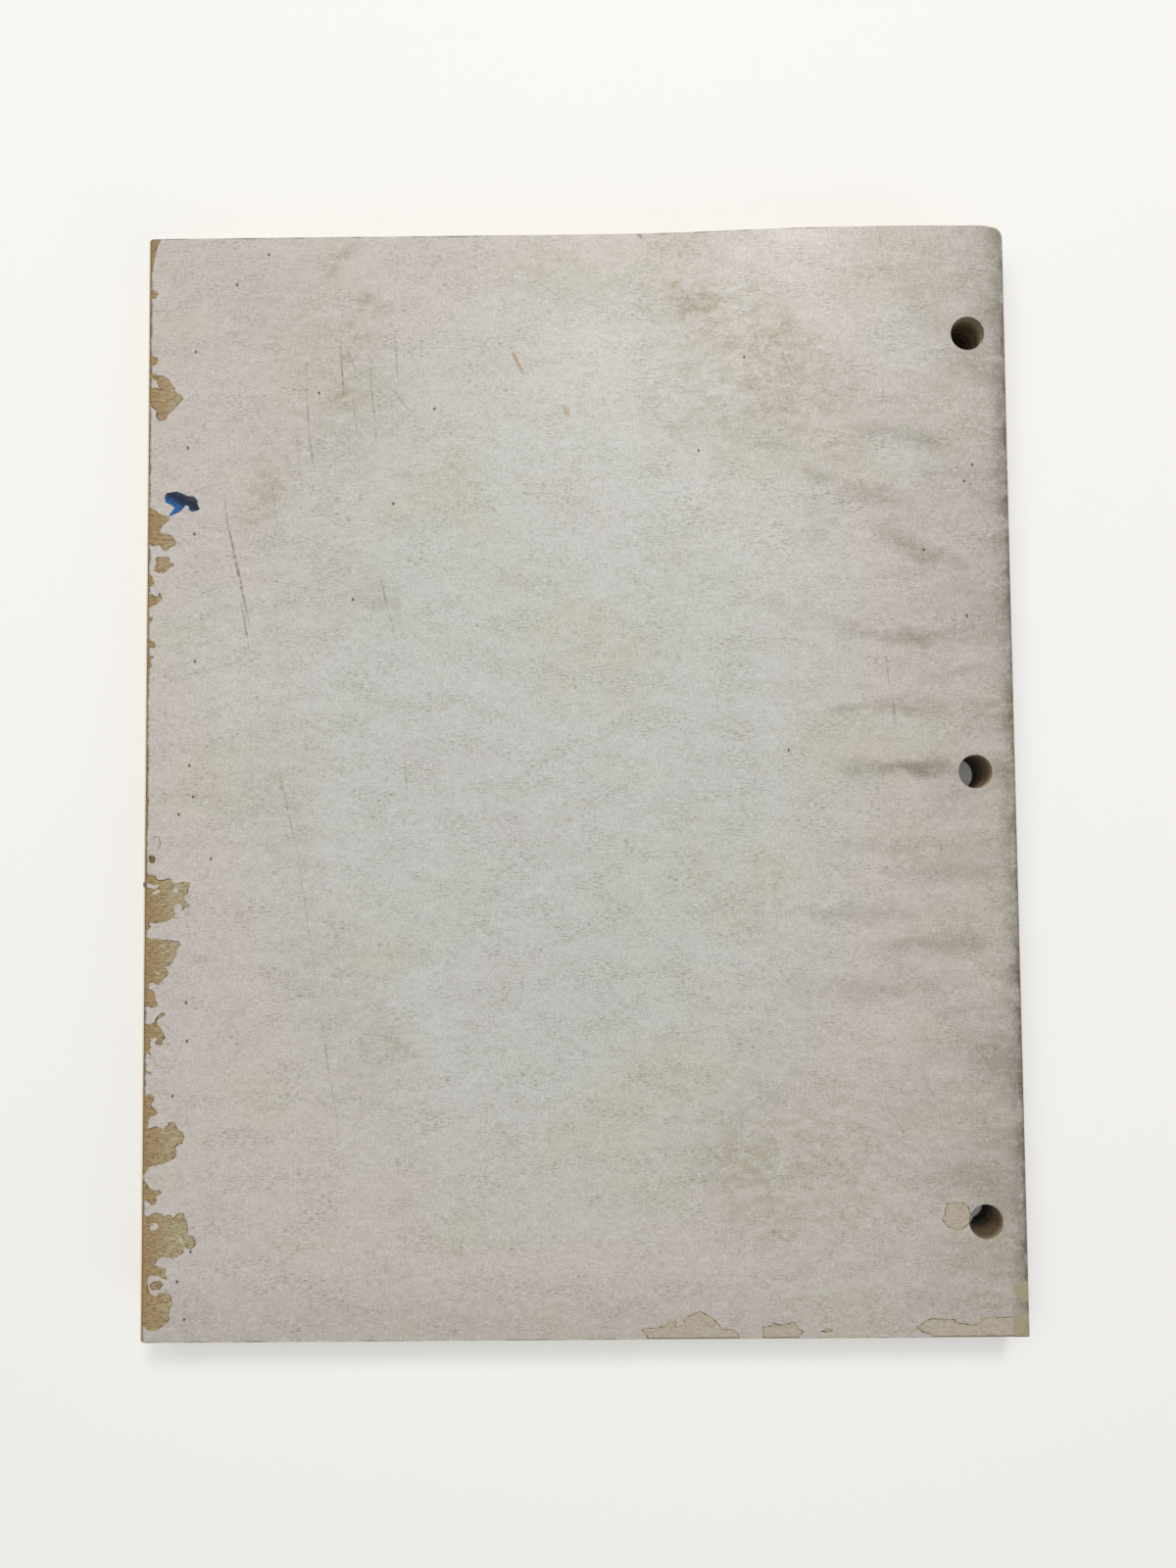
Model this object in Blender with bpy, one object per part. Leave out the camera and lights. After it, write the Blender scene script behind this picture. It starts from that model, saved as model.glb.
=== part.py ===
"""A thick perfect-bound softcover manual, drilled for a three-ring binder and lying face down.

The front cover is at the bottom, the spine is at +X and the head is at +Y. The origin is on the ground, under the
middle of the book. Ten leaves at a time form a pack. The packs hang on one another in a chain along the outer face
of the spine, which is how a glued spine bends, and each pack carries its own strip of glue and of spine card.
"""

import math
from dataclasses import dataclass

import bmesh
import bpy
from mathutils import Vector

MM = 0.001

# The closed book.
WIDTH = 212.7 * MM
HEIGHT = 269.9 * MM
THICKNESS = 16.0 * MM

# Its layers, and the running gap between any two of them.
CARD = 0.45 * MM
GLUE = 0.6 * MM
GAP = 0.2 * MM
PACKS = 12

# The binder holes.
HOLE_RADIUS = 4.1 * MM
HOLE_PITCH = 107.95 * MM
HOLE_TO_SPINE = 9.8 * MM
HOLE_SIDES = 24

# Wear and handling: the cover is trimmed short of the leaves, the packs step a little at the fore edge, and the
# corner of the back cover at the head of the spine is knocked round.
COVER_SHORT = 0.5 * MM
STAGGER = 0.3 * MM
WORN_CORNER = 0.8 * MM
KNOCKED_CORNER = 2.5 * MM

# The back cover has lifted off the leaves beside the spine at the head. It rises from one line to another, stays up,
# and rolls down to the spine over a rounded shoulder.
LIFT = 2.5 * MM
LIFT_START = 10.0 * MM
LIFT_FULL = 70.0 * MM
LIFT_LENGTH = 90.0 * MM
SHOULDER = 6.0 * MM

# Hinge axes lie this far outside the spine.
AXIS_OUT = 0.15 * MM

PACK = (THICKNESS - 2.0 * CARD - (PACKS + 1) * GAP) / PACKS
SPINE_X = WIDTH / 2.0
FORE_X = -WIDTH / 2.0
LEAF_END_X = SPINE_X - CARD - GLUE - 2.0 * GAP
HINGE_X = SPINE_X + AXIS_OUT


@dataclass(frozen=True)
class Hinge:
    """An empty on a hinge axis, and where that axis crosses the middle of the book."""

    empty: bpy.types.Object
    pivot: Vector


def clear_scene():
    """Remove whatever the scene holds."""
    for obj in list(bpy.data.objects):
        bpy.data.objects.remove(obj, do_unlink=True)


def new_collection(name):
    """A collection under the scene's own."""
    collection = bpy.data.collections.new(name)
    bpy.context.scene.collection.children.link(collection)
    return collection


def new_material(name, colour, roughness):
    """A plain Principled material; colour is linear RGB."""
    material = bpy.data.materials.new(name)
    material.use_nodes = True
    shader = material.node_tree.nodes["Principled BSDF"]
    shader.inputs["Base Color"].default_value = (*colour, 1.0)
    shader.inputs["Roughness"].default_value = roughness
    shader.inputs["Metallic"].default_value = 0.0
    material.diffuse_color = (*colour, 1.0)
    return material


def add_hinge(name, height, collection, parent=None):
    """An empty on the hinge line at this height, under the hinge below it in the chain."""
    pivot = Vector((HINGE_X, 0.0, height))
    empty = bpy.data.objects.new(name, None)
    empty.empty_display_size = 10.0 * MM
    collection.objects.link(empty)
    if parent is None:
        empty.location = pivot
    else:
        empty.parent = parent.empty
        empty.location = pivot - parent.pivot
    return Hinge(empty, pivot)


def block_mesh(size):
    """A rectangular block about its own centre, as an editable mesh."""
    mesh = bmesh.new()
    bmesh.ops.create_cube(mesh, size=1.0)
    bmesh.ops.scale(mesh, vec=size, verts=mesh.verts)
    return mesh


def round_corner(mesh, x_side, y_side, radius):
    """Round the upright edge on this side of the block (each side is +1 or -1)."""
    upright = [
        edge
        for edge in mesh.edges
        if all(v.co.x * x_side > 0.0 and v.co.y * y_side > 0.0 for v in edge.verts)
        and abs(edge.verts[0].co.z - edge.verts[1].co.z) > CARD / 2.0
    ]
    bmesh.ops.bevel(mesh, geom=upright, offset=radius, segments=4, profile=0.5, affect="EDGES")


def slice_across(mesh, axis, places):
    """Cut every face along planes square to an axis, so that the block can bend there."""
    normal = Vector([float(i == axis) for i in range(3)])
    for place in places:
        geometry = mesh.verts[:] + mesh.edges[:] + mesh.faces[:]
        bmesh.ops.bisect_plane(mesh, geom=geometry, dist=1e-7, plane_co=normal * place, plane_no=normal)


def add_object(name, mesh, centre, material, collection, hinge=None):
    """Turn an editable mesh into a named object that hangs on its hinge."""
    data = bpy.data.meshes.new(name)
    mesh.to_mesh(data)
    mesh.free()
    data.materials.append(material)
    obj = bpy.data.objects.new(name, data)
    collection.objects.link(obj)
    if hinge is None:
        obj.location = centre
    else:
        obj.parent = hinge.empty
        obj.location = Vector(centre) - hinge.pivot
    return obj


def span_block(low, high):
    """Size and centre of the block between two opposite corners."""
    low, high = Vector(low), Vector(high)
    return high - low, (low + high) / 2.0


def add_drills(collection):
    """The three cutters that drill the binder holes through every layer."""
    for row in (-1, 0, 1):
        centre = (SPINE_X - HOLE_TO_SPINE, row * HOLE_PITCH, THICKNESS / 2.0)
        bpy.ops.mesh.primitive_cylinder_add(
            vertices=HOLE_SIDES, radius=HOLE_RADIUS, depth=2.0 * THICKNESS, location=centre
        )
        drill = bpy.context.active_object
        drill.name = f"drill_{row + 2}"
        for owner in list(drill.users_collection):
            owner.objects.unlink(drill)
        collection.objects.link(drill)
        drill.hide_render = True
        drill.display_type = "WIRE"


def drill(obj, drills):
    """Cut the binder holes in one layer."""
    cut = obj.modifiers.new("binder_holes", "BOOLEAN")
    cut.operation = "DIFFERENCE"
    cut.solver = "EXACT"
    cut.operand_type = "COLLECTION"
    cut.collection = drills


def smooth_step(share):
    """A smooth rise from 0 to 1 as share goes from 0 to 1."""
    share = min(max(share, 0.0), 1.0)
    return share * share * (3.0 - 2.0 * share)


def lift_at(x, y):
    """How far the back cover stands off the leaves at a place on it."""
    rise = smooth_step((x - LIFT_START) / (LIFT_FULL - LIFT_START))
    towards_head = smooth_step((y - (HEIGHT / 2.0 - LIFT_LENGTH)) / LIFT_LENGTH)
    inside = min(max((SPINE_X - x) / SHOULDER, 0.0), 1.0)
    shoulder = math.sqrt(1.0 - (1.0 - inside) ** 2)
    return LIFT * rise * towards_head * shoulder


def add_front_cover(material, collection, hinge, drills):
    """The lower panel of the wrap-around cover, flat on the ground."""
    size, centre = span_block((FORE_X + COVER_SHORT, -HEIGHT / 2.0, 0.0), (SPINE_X, HEIGHT / 2.0, CARD))
    mesh = block_mesh(size)
    for y_side in (-1, 1):
        round_corner(mesh, -1, y_side, WORN_CORNER)
    drill(add_object("front_cover", mesh, centre, material, collection, hinge), drills)


def add_back_cover(material, collection, hinge, drills):
    """The upper panel, which lifts beside the spine at the head."""
    size, centre = span_block(
        (FORE_X + COVER_SHORT, -HEIGHT / 2.0, THICKNESS - CARD), (SPINE_X, HEIGHT / 2.0, THICKNESS)
    )
    mesh = block_mesh(size)
    for y_side in (-1, 1):
        round_corner(mesh, -1, y_side, WORN_CORNER)
    round_corner(mesh, 1, 1, KNOCKED_CORNER)
    across = [LIFT_START + (LIFT_FULL - LIFT_START) * i / 8.0 for i in range(9)]
    across += [SPINE_X - SHOULDER * (1.0 - math.cos(math.pi * i / 12.0)) for i in range(1, 7)]
    along = [HEIGHT / 2.0 - LIFT_LENGTH * i / 8.0 for i in range(1, 9)]
    slice_across(mesh, 0, [x - centre.x for x in across])
    slice_across(mesh, 1, along)
    for vertex in mesh.verts:
        vertex.co.z += lift_at(vertex.co.x + centre.x, vertex.co.y)
    drill(add_object("back_cover", mesh, centre, material, collection, hinge), drills)


def pack_floor(index):
    """Height of the underside of a pack, counted from 0 at the front cover."""
    return CARD + GAP + index * (PACK + GAP)


def add_pack(index, materials, collection, hinge, drills):
    """One pack of leaves with the strip of glue and of spine card behind it."""
    number = f"{index + 1:02d}"
    low, high = pack_floor(index), pack_floor(index) + PACK
    stagger = STAGGER * (1.0 - math.cos(2.0 * (PACKS - 1 - index))) / 2.0
    layers = (
        ("leaf_pack_", FORE_X + stagger, LEAF_END_X, materials["leaf_paper"]),
        ("spine_glue_", LEAF_END_X + GAP, LEAF_END_X + GAP + GLUE, materials["spine_glue"]),
        ("spine_cover_", SPINE_X - CARD, SPINE_X, materials["cover_card"]),
    )
    for name, x_low, x_high, material in layers:
        size, centre = span_block((x_low, -HEIGHT / 2.0, low), (x_high, HEIGHT / 2.0, high))
        obj = add_object(name + number, block_mesh(size), centre, material, collection, hinge)
        if name == "leaf_pack_":
            drill(obj, drills)


def main():
    """Build the book from the ground up."""
    clear_scene()
    book = new_collection("softcover_manual")
    drills = new_collection("cutters")
    materials = {
        "cover_card": new_material("cover_card", (0.56, 0.53, 0.48), 0.45),
        "leaf_paper": new_material("leaf_paper", (0.83, 0.77, 0.62), 0.85),
        "spine_glue": new_material("spine_glue", (0.62, 0.52, 0.33), 0.35),
    }
    add_drills(drills)
    front_hinge = add_hinge("front_cover_axis", CARD + GAP / 2.0, book)
    add_front_cover(materials["cover_card"], book, front_hinge, drills)
    hinge = None
    for index in range(PACKS):
        if index > 0:
            hinge = add_hinge(f"leaf_axis_{index:02d}", pack_floor(index) - GAP / 2.0, book, hinge)
        add_pack(index, materials, book, hinge, drills)
    back_hinge = add_hinge("back_cover_axis", THICKNESS - CARD - GAP / 2.0, book, hinge)
    add_back_cover(materials["cover_card"], book, back_hinge, drills)


main()
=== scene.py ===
"""Looks for a thick perfect-bound softcover manual, drilled for a ring binder and lying face down.

The cover is one sheet of coated board that wraps the leaves, so it is built as a printed coat over a tan
fibre core, and it bends at the spine. Places on the back cover are written as a maker reads them off it with
a ruler, in millimetres: across from the fore edge and down from the head, or in from the spine and up from
the tail.
"""

import logging
import math
import random
from dataclasses import dataclass, field
from enum import Enum
from typing import Any, Callable, Iterable, Sequence

import bmesh
import bpy
from bmesh.types import BMesh, BMVert
from bpy.types import Material, Mesh, Node, NodeSocket, Object
from mathutils import Matrix, Vector, noise


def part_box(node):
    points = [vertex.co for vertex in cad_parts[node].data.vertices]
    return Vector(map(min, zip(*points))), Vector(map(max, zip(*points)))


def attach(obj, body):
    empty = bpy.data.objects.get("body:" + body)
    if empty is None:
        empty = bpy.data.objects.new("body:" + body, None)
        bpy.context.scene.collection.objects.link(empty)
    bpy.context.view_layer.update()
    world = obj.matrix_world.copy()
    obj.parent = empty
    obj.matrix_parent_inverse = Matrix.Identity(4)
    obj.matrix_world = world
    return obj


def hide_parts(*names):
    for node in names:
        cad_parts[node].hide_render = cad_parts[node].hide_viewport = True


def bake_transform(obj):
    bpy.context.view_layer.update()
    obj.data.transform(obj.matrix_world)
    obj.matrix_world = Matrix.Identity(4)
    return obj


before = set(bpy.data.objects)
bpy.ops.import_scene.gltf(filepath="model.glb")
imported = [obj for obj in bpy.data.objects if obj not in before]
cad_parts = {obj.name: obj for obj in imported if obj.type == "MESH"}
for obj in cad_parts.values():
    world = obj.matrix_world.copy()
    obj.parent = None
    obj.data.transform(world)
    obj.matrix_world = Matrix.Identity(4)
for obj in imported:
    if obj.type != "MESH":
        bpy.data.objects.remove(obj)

logging.basicConfig(level=logging.INFO, format="%(message)s")
log = logging.getLogger("softcover_manual")

MM = 0.001
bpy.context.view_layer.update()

# How the back cover stands off the leaves beside the spine at the head, as in the frame.
LIFT_START = 10.0 * MM
LIFT_FULL = 70.0 * MM
LIFT_LENGTH = 90.0 * MM
SHOULDER = 6.0 * MM

# The board: a printed coat over the core, and the fold at the spine: where the flat panels hand over to it,
# its radius, how far from the spine its start is set, and at what share of the card's thickness below the
# card its end is set. Then come its worn and knocked corners.
COAT = 0.09 * MM
FOLD_REACH = 4.0 * MM
FOLD_RADIUS = 0.6 * MM
FOLD_GIVES = 1.1 * MM
FOLD_HOLDS = 0.8
WORN_CORNER = 0.8 * MM
KNOCKED_CORNER = 2.2 * MM
KNOCKED_REACH = 9.0 * MM
KNOCKED_EDGE = 1.3 * MM
KNOCKED_DEPTH = 1.6 * MM
PANEL_GRID = 9.0 * MM
COAT_OVERLAP = 0.01 * MM
RIM_WIDTH = 0.26 * MM

# How rough torn outlines are: of flakes, of scraps and chips, and of tears. They are drawn in short steps.
FLAKE_ROUGHNESS = 0.10 * MM
SCRAP_ROUGHNESS = 0.05 * MM
TEAR_ROUGHNESS = 0.04 * MM
TEAR_WIDTH = 0.22 * MM
TORN_STEP = 0.34 * MM
TORN_GRAIN = 0.55 * MM

# Shares of the way between the middles of two packs, given as the start and end of each piece of the spine's
# card and glue.
BEND_FROM, BEND_TO = 0.25, 0.75

# How far cutters reach past what they cut, and how close to a cut a corner counts as on it.
PAST = 1.0 * MM
ON_CUT = 1e-7

# The binder holes.
HOLE_RADIUS = 4.1 * MM
HOLE_PITCH = 107.95 * MM
HOLE_TO_SPINE = 9.8 * MM
HOLE_SIDES = 32
LEAF_HOLE_SIDES = 24
DRILL_LENGTH = 8.0 * MM
CHIPS_AT_HOLE = 7

# The leaves: how much of its share of a pack's height one fills, and how much of the cover's lift the top
# one takes.
LEAVES_IN_PACK = 10
LEAF_SHARE = 0.82
TOP_LEAF_LIFT = 0.8

Place = tuple[float, float]
Outline = Sequence[Place]


class Side(Enum):
    """Which of the two covers, by the height of its outer face."""

    FRONT = "front"
    BACK = "back"


def linear(code: str) -> tuple[float, float, float, float]:
    """Linear RGBA of an sRGB hex colour.

    Args:
        code: Six hex digits, such as "c4b59a".

    Returns:
        The colour in linear light, with alpha 1.
    """
    channels = [int(code[i : i + 2], 16) / 255.0 for i in (0, 2, 4)]
    light = [c / 12.92 if c <= 0.04045 else ((c + 0.055) / 1.055) ** 2.4 for c in channels]
    return light[0], light[1], light[2], 1.0


def smooth_step(share: float) -> float:
    """A smooth rise from 0 to 1 as share goes from 0 to 1."""
    share = min(max(share, 0.0), 1.0)
    return share * share * (3.0 - 2.0 * share)


@dataclass(frozen=True)
class Book:
    """Sizes and places of the closed book, read from the frame.

    Args:
        fore: X of the covers' fore edge.
        spine: X of the spine's outer face.
        head: Y of the head.
        card: Thickness of the cover board.
        top: Height of the closed book where its cover lies flat.
        lift: How far the back cover has risen at most.
        gap: Running gap between two packs of leaves.
        packs: Number of packs.
    """

    fore: float
    spine: float
    head: float
    card: float
    top: float
    lift: float
    gap: float
    packs: int

    @classmethod
    def from_frame(cls) -> "Book":
        """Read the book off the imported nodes.

        Returns:
            The book's sizes, in metres.
        """
        low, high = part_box("back_cover")
        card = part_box("front_cover")[1].z
        packs = sum(name.startswith("leaf_pack_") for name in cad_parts)
        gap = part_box("leaf_pack_02")[0].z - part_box("leaf_pack_01")[1].z
        top = low.z + card
        return cls(low.x, high.x, high.y, card, top, high.z - top, gap, packs)

    def from_fore(self, place: Place) -> Place:
        """X and Y of a place given across from the fore edge and down from the head, in mm."""
        return self.fore + place[0] * MM, self.head - place[1] * MM

    def from_spine(self, place: Place) -> Place:
        """X and Y of a place given in from the spine and up from the tail, in mm."""
        return self.spine - place[0] * MM, -self.head + place[1] * MM

    def lift_at(self, x: float, y: float) -> float:
        """How far the back cover stands off the leaves at a place on it.

        Args:
            x: The place across the book.
            y: The place along it.

        Returns:
            The lift, in metres.
        """
        rise = smooth_step((x - LIFT_START) / (LIFT_FULL - LIFT_START))
        towards_head = smooth_step((y - (self.head - LIFT_LENGTH)) / LIFT_LENGTH)
        inside = min(max((self.spine - x) / SHOULDER, 0.0), 1.0)
        return self.lift * rise * towards_head * math.sqrt(1.0 - (1.0 - inside) ** 2)

    def knocked_at(self, x: float, y: float) -> float:
        """How far the back cover's head edge is knocked back beside the spine at a place on it.

        Args:
            x: The place across the book.
            y: The place along it.

        Returns:
            How far the place has moved towards the tail, in metres.
        """
        corner = min(max((self.spine - x) / KNOCKED_CORNER, 0.0), 1.0)
        edge = min(max((self.spine - x) / KNOCKED_REACH, 0.0), 1.0)
        back = KNOCKED_CORNER * (1.0 - math.sqrt(1.0 - (1.0 - corner) ** 2))
        back += KNOCKED_EDGE * (1.0 - edge) ** 2
        return back * smooth_step(1.0 - (self.head - y) / KNOCKED_REACH)

    def pack_middle(self, number: int) -> float:
        """Height of the middle of a pack, counted from 1 at the front cover."""
        low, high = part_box(f"leaf_pack_{number:02d}")
        return (low.z + high.z) / 2.0

    def hole_centres(self) -> list[Place]:
        """X and Y of the three binder holes, from the tail up."""
        return [(self.spine - HOLE_TO_SPINE, row * HOLE_PITCH) for row in (-1, 0, 1)]

    def bends_across(self) -> list[float]:
        """Places across the panel where the lifted cover is sliced so that it can bend."""
        lifting = [LIFT_START + (LIFT_FULL - LIFT_START) * i / 12.0 for i in range(13)]
        rolling = [self.spine - SHOULDER * (1.0 - math.cos(math.pi * i / 20.0)) for i in range(3, 11)]
        return lifting + [(LIFT_FULL + self.spine - SHOULDER) / 2.0] + rolling

    def bends_along(self) -> list[float]:
        """Places along the panel where the lifted cover is sliced so that it can bend."""
        return [self.head - LIFT_LENGTH * i / 12.0 for i in range(1, 13)]


# ---------------------------------------------------------------------------------------------------
# Wear on the back cover
# ---------------------------------------------------------------------------------------------------


def outlines(*rows: Sequence[float]) -> list[Outline]:
    """Outlines from rows of readings.

    Args:
        rows: For each outline, its corners one after another, two readings each, in mm.

    Returns:
        The outlines, as lists of corners.
    """
    return [list(zip(row[::2], row[1::2])) for row in rows]


# Where the coat has flaked off along the fore edge: mm from the fore edge and down from the head. A negative
# first number lies outside the cover.
FORE_FLAKES = outlines(
    (-1, -1, 2.6, 0.2, 1.9, 2, 1.2, 4.5, 0.9, 6.5, 0.5, 9, -1, 10.5),
    (-1, 12.6, 0.6, 12.8, 1.7, 13.2, 2.1, 14.1, 1.4, 15, 0.4, 15.2, -1, 15.3),
    (-1, 25.5, 0.4, 25.9, 0.5, 27.4, -1, 28),
    (-1, 29.4, 0.8, 29.6, 2, 30.2, 2.3, 30.9, 1.6, 31.9, 0.6, 32.5, -1, 32.6),
    (-1, 33.4, 0.1, 33.6, 0.9, 34.1, 1.8, 34.5, 3.6, 34.8, 4.8, 35.6, 5.3, 36.5, 6.3, 37.9, 6.6, 39,
     7.9, 39.7, 8.6, 40.4, 7.9, 41.3, 6.9, 42.5, 5.7, 43.7, 4.9, 44.3, 4.3, 45.7, 3.4, 46.2, 2.3, 46,
     1.7, 45, 1.9, 43.6, 0.7, 42.7, 0, 41.7, -1, 41.5, -1, 37.8, 0.1, 37.7, 1.8, 37.7, 2.7, 38.2, 2.1, 37,
     1.5, 35.9, 0.1, 34.9, -1, 34.8),
    (-1, 62, 0.5, 62.5, 0.3, 63.6, 0.6, 64.4, 0.4, 65.6, -1, 66),
    (-1, 67, 0.1, 67.3, 1.5, 68.4, 2.7, 69.2, 3.8, 69.8, 5.1, 70.1, 5.4, 70.7, 4.8, 71.6, 3.9, 72, 3.3, 72.9,
     3, 73.9, 4.1, 74.3, 5.4, 74.8, 6.3, 75.2, 6.6, 76.1, 7.1, 76.6, 6.6, 77.3, 5.6, 77.6, 5.3, 78.4,
     4.2, 78.7, 3.4, 78.1, 3, 77.2, 1.5, 77.6, 0.7, 77.2, 0.2, 76.4, -1, 76.2),
    (1.8, 80.7, 2.2, 80.2, 3.6, 80, 5, 80.05, 5.4, 80.8, 5.4, 81.6, 6.5, 82.05, 6.3, 82.65, 5.3, 82.95,
     4.65, 83.55, 4.05, 84.25, 2.7, 84.2, 1.5, 83.55, 1.8, 82.5, 2.1, 81.75),
    (-1, 84.2, 0.6, 84.4, 1.2, 85.4, 1.8, 86.4, 1.3, 87.4, 0.5, 87.9, -1, 88),
    (-1, 89.2, 0, 89.3, 1.4, 89.45, 1.7, 90, 2.6, 89.75, 2.9, 89, 3.4, 89.75, 3.85, 90.5, 3.1, 91.3, 2.3, 92,
     1.1, 92.2, 0.5, 93.1, -1, 93.3),
    (-1, 94.9, 0.4, 94.9, 1.3, 95.2, 1.1, 96, 0.5, 96.5, -1, 96.6),
    (-1, 99.6, 0.2, 99.8, 0.9, 100.7, 1.9, 101.4, 2.1, 102.6, 1.3, 102.8, 0.4, 102.6, -1, 103),
    (-1, 104.4, 0.2, 104.5, 1.9, 104.9, 1.1, 105.4, 0.8, 106.1, 1.5, 107.3, 0.7, 107.6, 0.7, 108.7,
     -1, 108.8),
    (-1, 116.5, 0.5, 117, 0.4, 118.2, -1, 118.5),
    (-1, 132.2, 0.7, 132.6, 0.6, 133.8, -1, 134),
    (-1, 137, 0.7, 137.4, 0.4, 138.4, 0.8, 139.5, 0.8, 141, 0.5, 142.2, 0.6, 143.4, -1, 144),
    (0.9, 153.4, 2.2, 153.6, 2.5, 154.6, 2, 155.7, 1.1, 155.6, 0.8, 154.5),
    (-1, 158.4, 0.3, 158.5, 1.6, 158.2, 2.65, 158.5, 2.95, 159.4, 4.3, 159.6, 5, 159.4, 5.8, 159.1,
     6.5, 159.6, 6.8, 160.4, 8.15, 160.3, 9.6, 160, 10.7, 160.15, 11.1, 160.7, 10.7, 161.6, 10.5, 162.8,
     9.8, 163.4, 9.6, 164.55, 10.5, 165.4, 10.8, 165.9, 9.9, 166.3, 9.2, 167.05, 8.9, 165.7, 8.15, 165.3,
     7.3, 165.9, 7, 166.9, 7.4, 167.65, 7.1, 168.7, 5.8, 169.4, 4.3, 170, 2.5, 170, 1, 170.15, 1.5, 171,
     0.9, 171.8, 0, 171.9, -1, 171.9),
    (-1, 172.8, 0.1, 172.9, 1.15, 173.7, 2.8, 173.7, 4.3, 174, 5.75, 174.1, 7.1, 174.4, 8.3, 174.4,
     8.8, 175.1, 8.4, 175.9, 7.8, 176.5, 8, 177.5, 7.4, 178.4, 6.9, 179.6, 6, 180.4, 4.9, 180.4, 5.6, 181.2,
     5.9, 182.2, 5.3, 183.1, 4.7, 183.8, 3.65, 184.9, 2.8, 184.8, 2, 184.3, 1.45, 184.3, 1.15, 185.1,
     1.3, 185.9, 2.5, 186.5, 2.75, 187.5, 2.9, 188.7, 3.4, 189.7, 2.9, 190.3, 1.75, 190.35, 0.6, 190.15,
     -1, 190.1),
    (-1, 194.3, 0.1, 194.3, 1.45, 194.3, 2.5, 194, 2.8, 192.95, 3.4, 192.35, 3.95, 191.8, 4.8, 191.6,
     5.2, 192.05, 4.7, 192.65, 3.8, 192.95, 3.2, 193.4, 3.35, 194.3, 4.1, 195.3, 4.7, 196, 5, 197.2,
     5.3, 197.65, 4.7, 198.1, 4.7, 198.8, 4.2, 199.5, 3.2, 199.4, 2.6, 199, 3.1, 198.2, 3.2, 197.65,
     2.5, 197.65, 1.75, 197.8, 1.6, 198.7, 1.75, 199.85, 1.45, 200.7, 1.9, 201.9, 1, 201.3, 0.3, 201.2,
     -1, 201.3),
    (-1, 204.5, 0.2, 204.9, 1.1, 205.6, 1.9, 205.9, 1.6, 206.3, 0.7, 206, -1, 205.6),
    (-1, 211.3, 0.1, 211.3, 1.25, 211.2, 2.1, 211.5, 2.9, 211.8, 2.3, 212.8, 2, 213.7, 2.4, 214.4,
     3.2, 214.9, 3.6, 215.7, 3.2, 216, 2.1, 216.6, 1.4, 216.8, 1.3, 218.1, 1.35, 219.4, 2.1, 219, 3.1, 218.7,
     4.3, 219.1, 5.2, 219.6, 5.35, 218.8, 6.2, 218.5, 6.1, 217.9, 7.1, 217.7, 7.7, 218.1, 8, 218.8,
     8.75, 219.7, 9.6, 220.15, 10.1, 221.5, 9.7, 222.35, 9.7, 222.9, 8.8, 223.2, 7.8, 223.8, 8.1, 225,
     7.85, 226.2, 6.8, 226.9, 5.65, 227.35, 4.8, 227.65, 3.9, 227.9, 2.8, 228.2, 1.6, 228.5, 1.3, 229.3,
     0.9, 229.7, 0.45, 230.1, 0.2, 231.3, -1, 231.5),
    (-1, 233, 0.1, 233.1, 0.7, 232.05, 1.3, 232.35, 1.5, 233.4, 3.05, 233.95, 4.1, 233.8, 4.6, 234.7,
     4.2, 235.15, 3.35, 235.6, 3.6, 236.3, 3.35, 237.2, 2.6, 237.65, 1.9, 237.2, 1.45, 236.6, 0.3, 236.5,
     -1, 236.5),
    (-1, 239.8, 0.3, 239.85, 1.6, 240.15, 2.5, 239.4, 3.2, 239.1, 4.1, 239.4, 5, 239.55, 5.25, 240.15,
     6, 239.85, 7.15, 239.85, 7.45, 240.7, 8.3, 239.7, 8.9, 239.3, 10.1, 239.3, 10.2, 240.7, 10.8, 241.3,
     11.1, 243.4, 10.8, 244.3, 11.5, 244.85, 12.4, 245, 13.1, 245.9, 13.1, 246.6, 12.4, 247.5, 11.8, 248.2,
     10.9, 247.8, 10.2, 247.35, 10.1, 248.7, 8.9, 249.55, 7.45, 250.15, 6.3, 249.85, 5.1, 249.85,
     4.2, 250.15, 3.5, 251, 3.2, 251.8, 4.4, 252.2, 5.7, 252.5, 5.8, 253.7, 6.1, 255, 4.8, 254.85,
     4.1, 254.4, 3.5, 254.1, 2.5, 254.1, 1.6, 254.55, 1.45, 255.7, 1.6, 256.9, 2.05, 257.95, 2.8, 258.8,
     3.5, 258.95, 4.2, 258.2, 5.1, 258.1, 6.3, 258.2, 7.3, 259.3, 7.6, 261, 6.9, 262.05, 6.6, 263.2,
     6.7, 264.55, 6, 265.4, 5, 266, 4.4, 266.6, 3.7, 267.05, 2.5, 267.2, 1.5, 266.8, 0.6, 265.9, -1, 265.1),
    (1.9, 256.2, 3, 255.5, 4.4, 255.4, 5.2, 256.2, 4.4, 257.4, 3, 257.6, 2.2, 257.2),
)

# Scraps of coat that still hold on inside the flakes, measured in the same way.
COAT_SCRAPS = outlines(
    (-0.4, 160.1, 0.4, 160.2, 2, 160.9, 3.5, 160.5, 3.7, 161, 2.5, 161.7, 1, 161.4, -0.4, 161.2),
    (1.5, 163, 2.6, 162.2, 3.6, 161.9, 3.6, 162.5, 2.6, 163.1),
    (6.8, 162.5, 7.4, 161.2, 8.1, 161.9, 7.7, 162.8),
    (2.3, 181.7, 3.2, 181.8, 4, 182.4, 3, 182.3),
    (1.9, 242.5, 2.7, 241.7, 3.6, 241.9, 3.8, 242.8, 3.2, 243.5, 2, 243.5),
    (9, 245.3, 9.5, 245, 9.6, 246.2, 9.1, 246.2),
)

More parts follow.
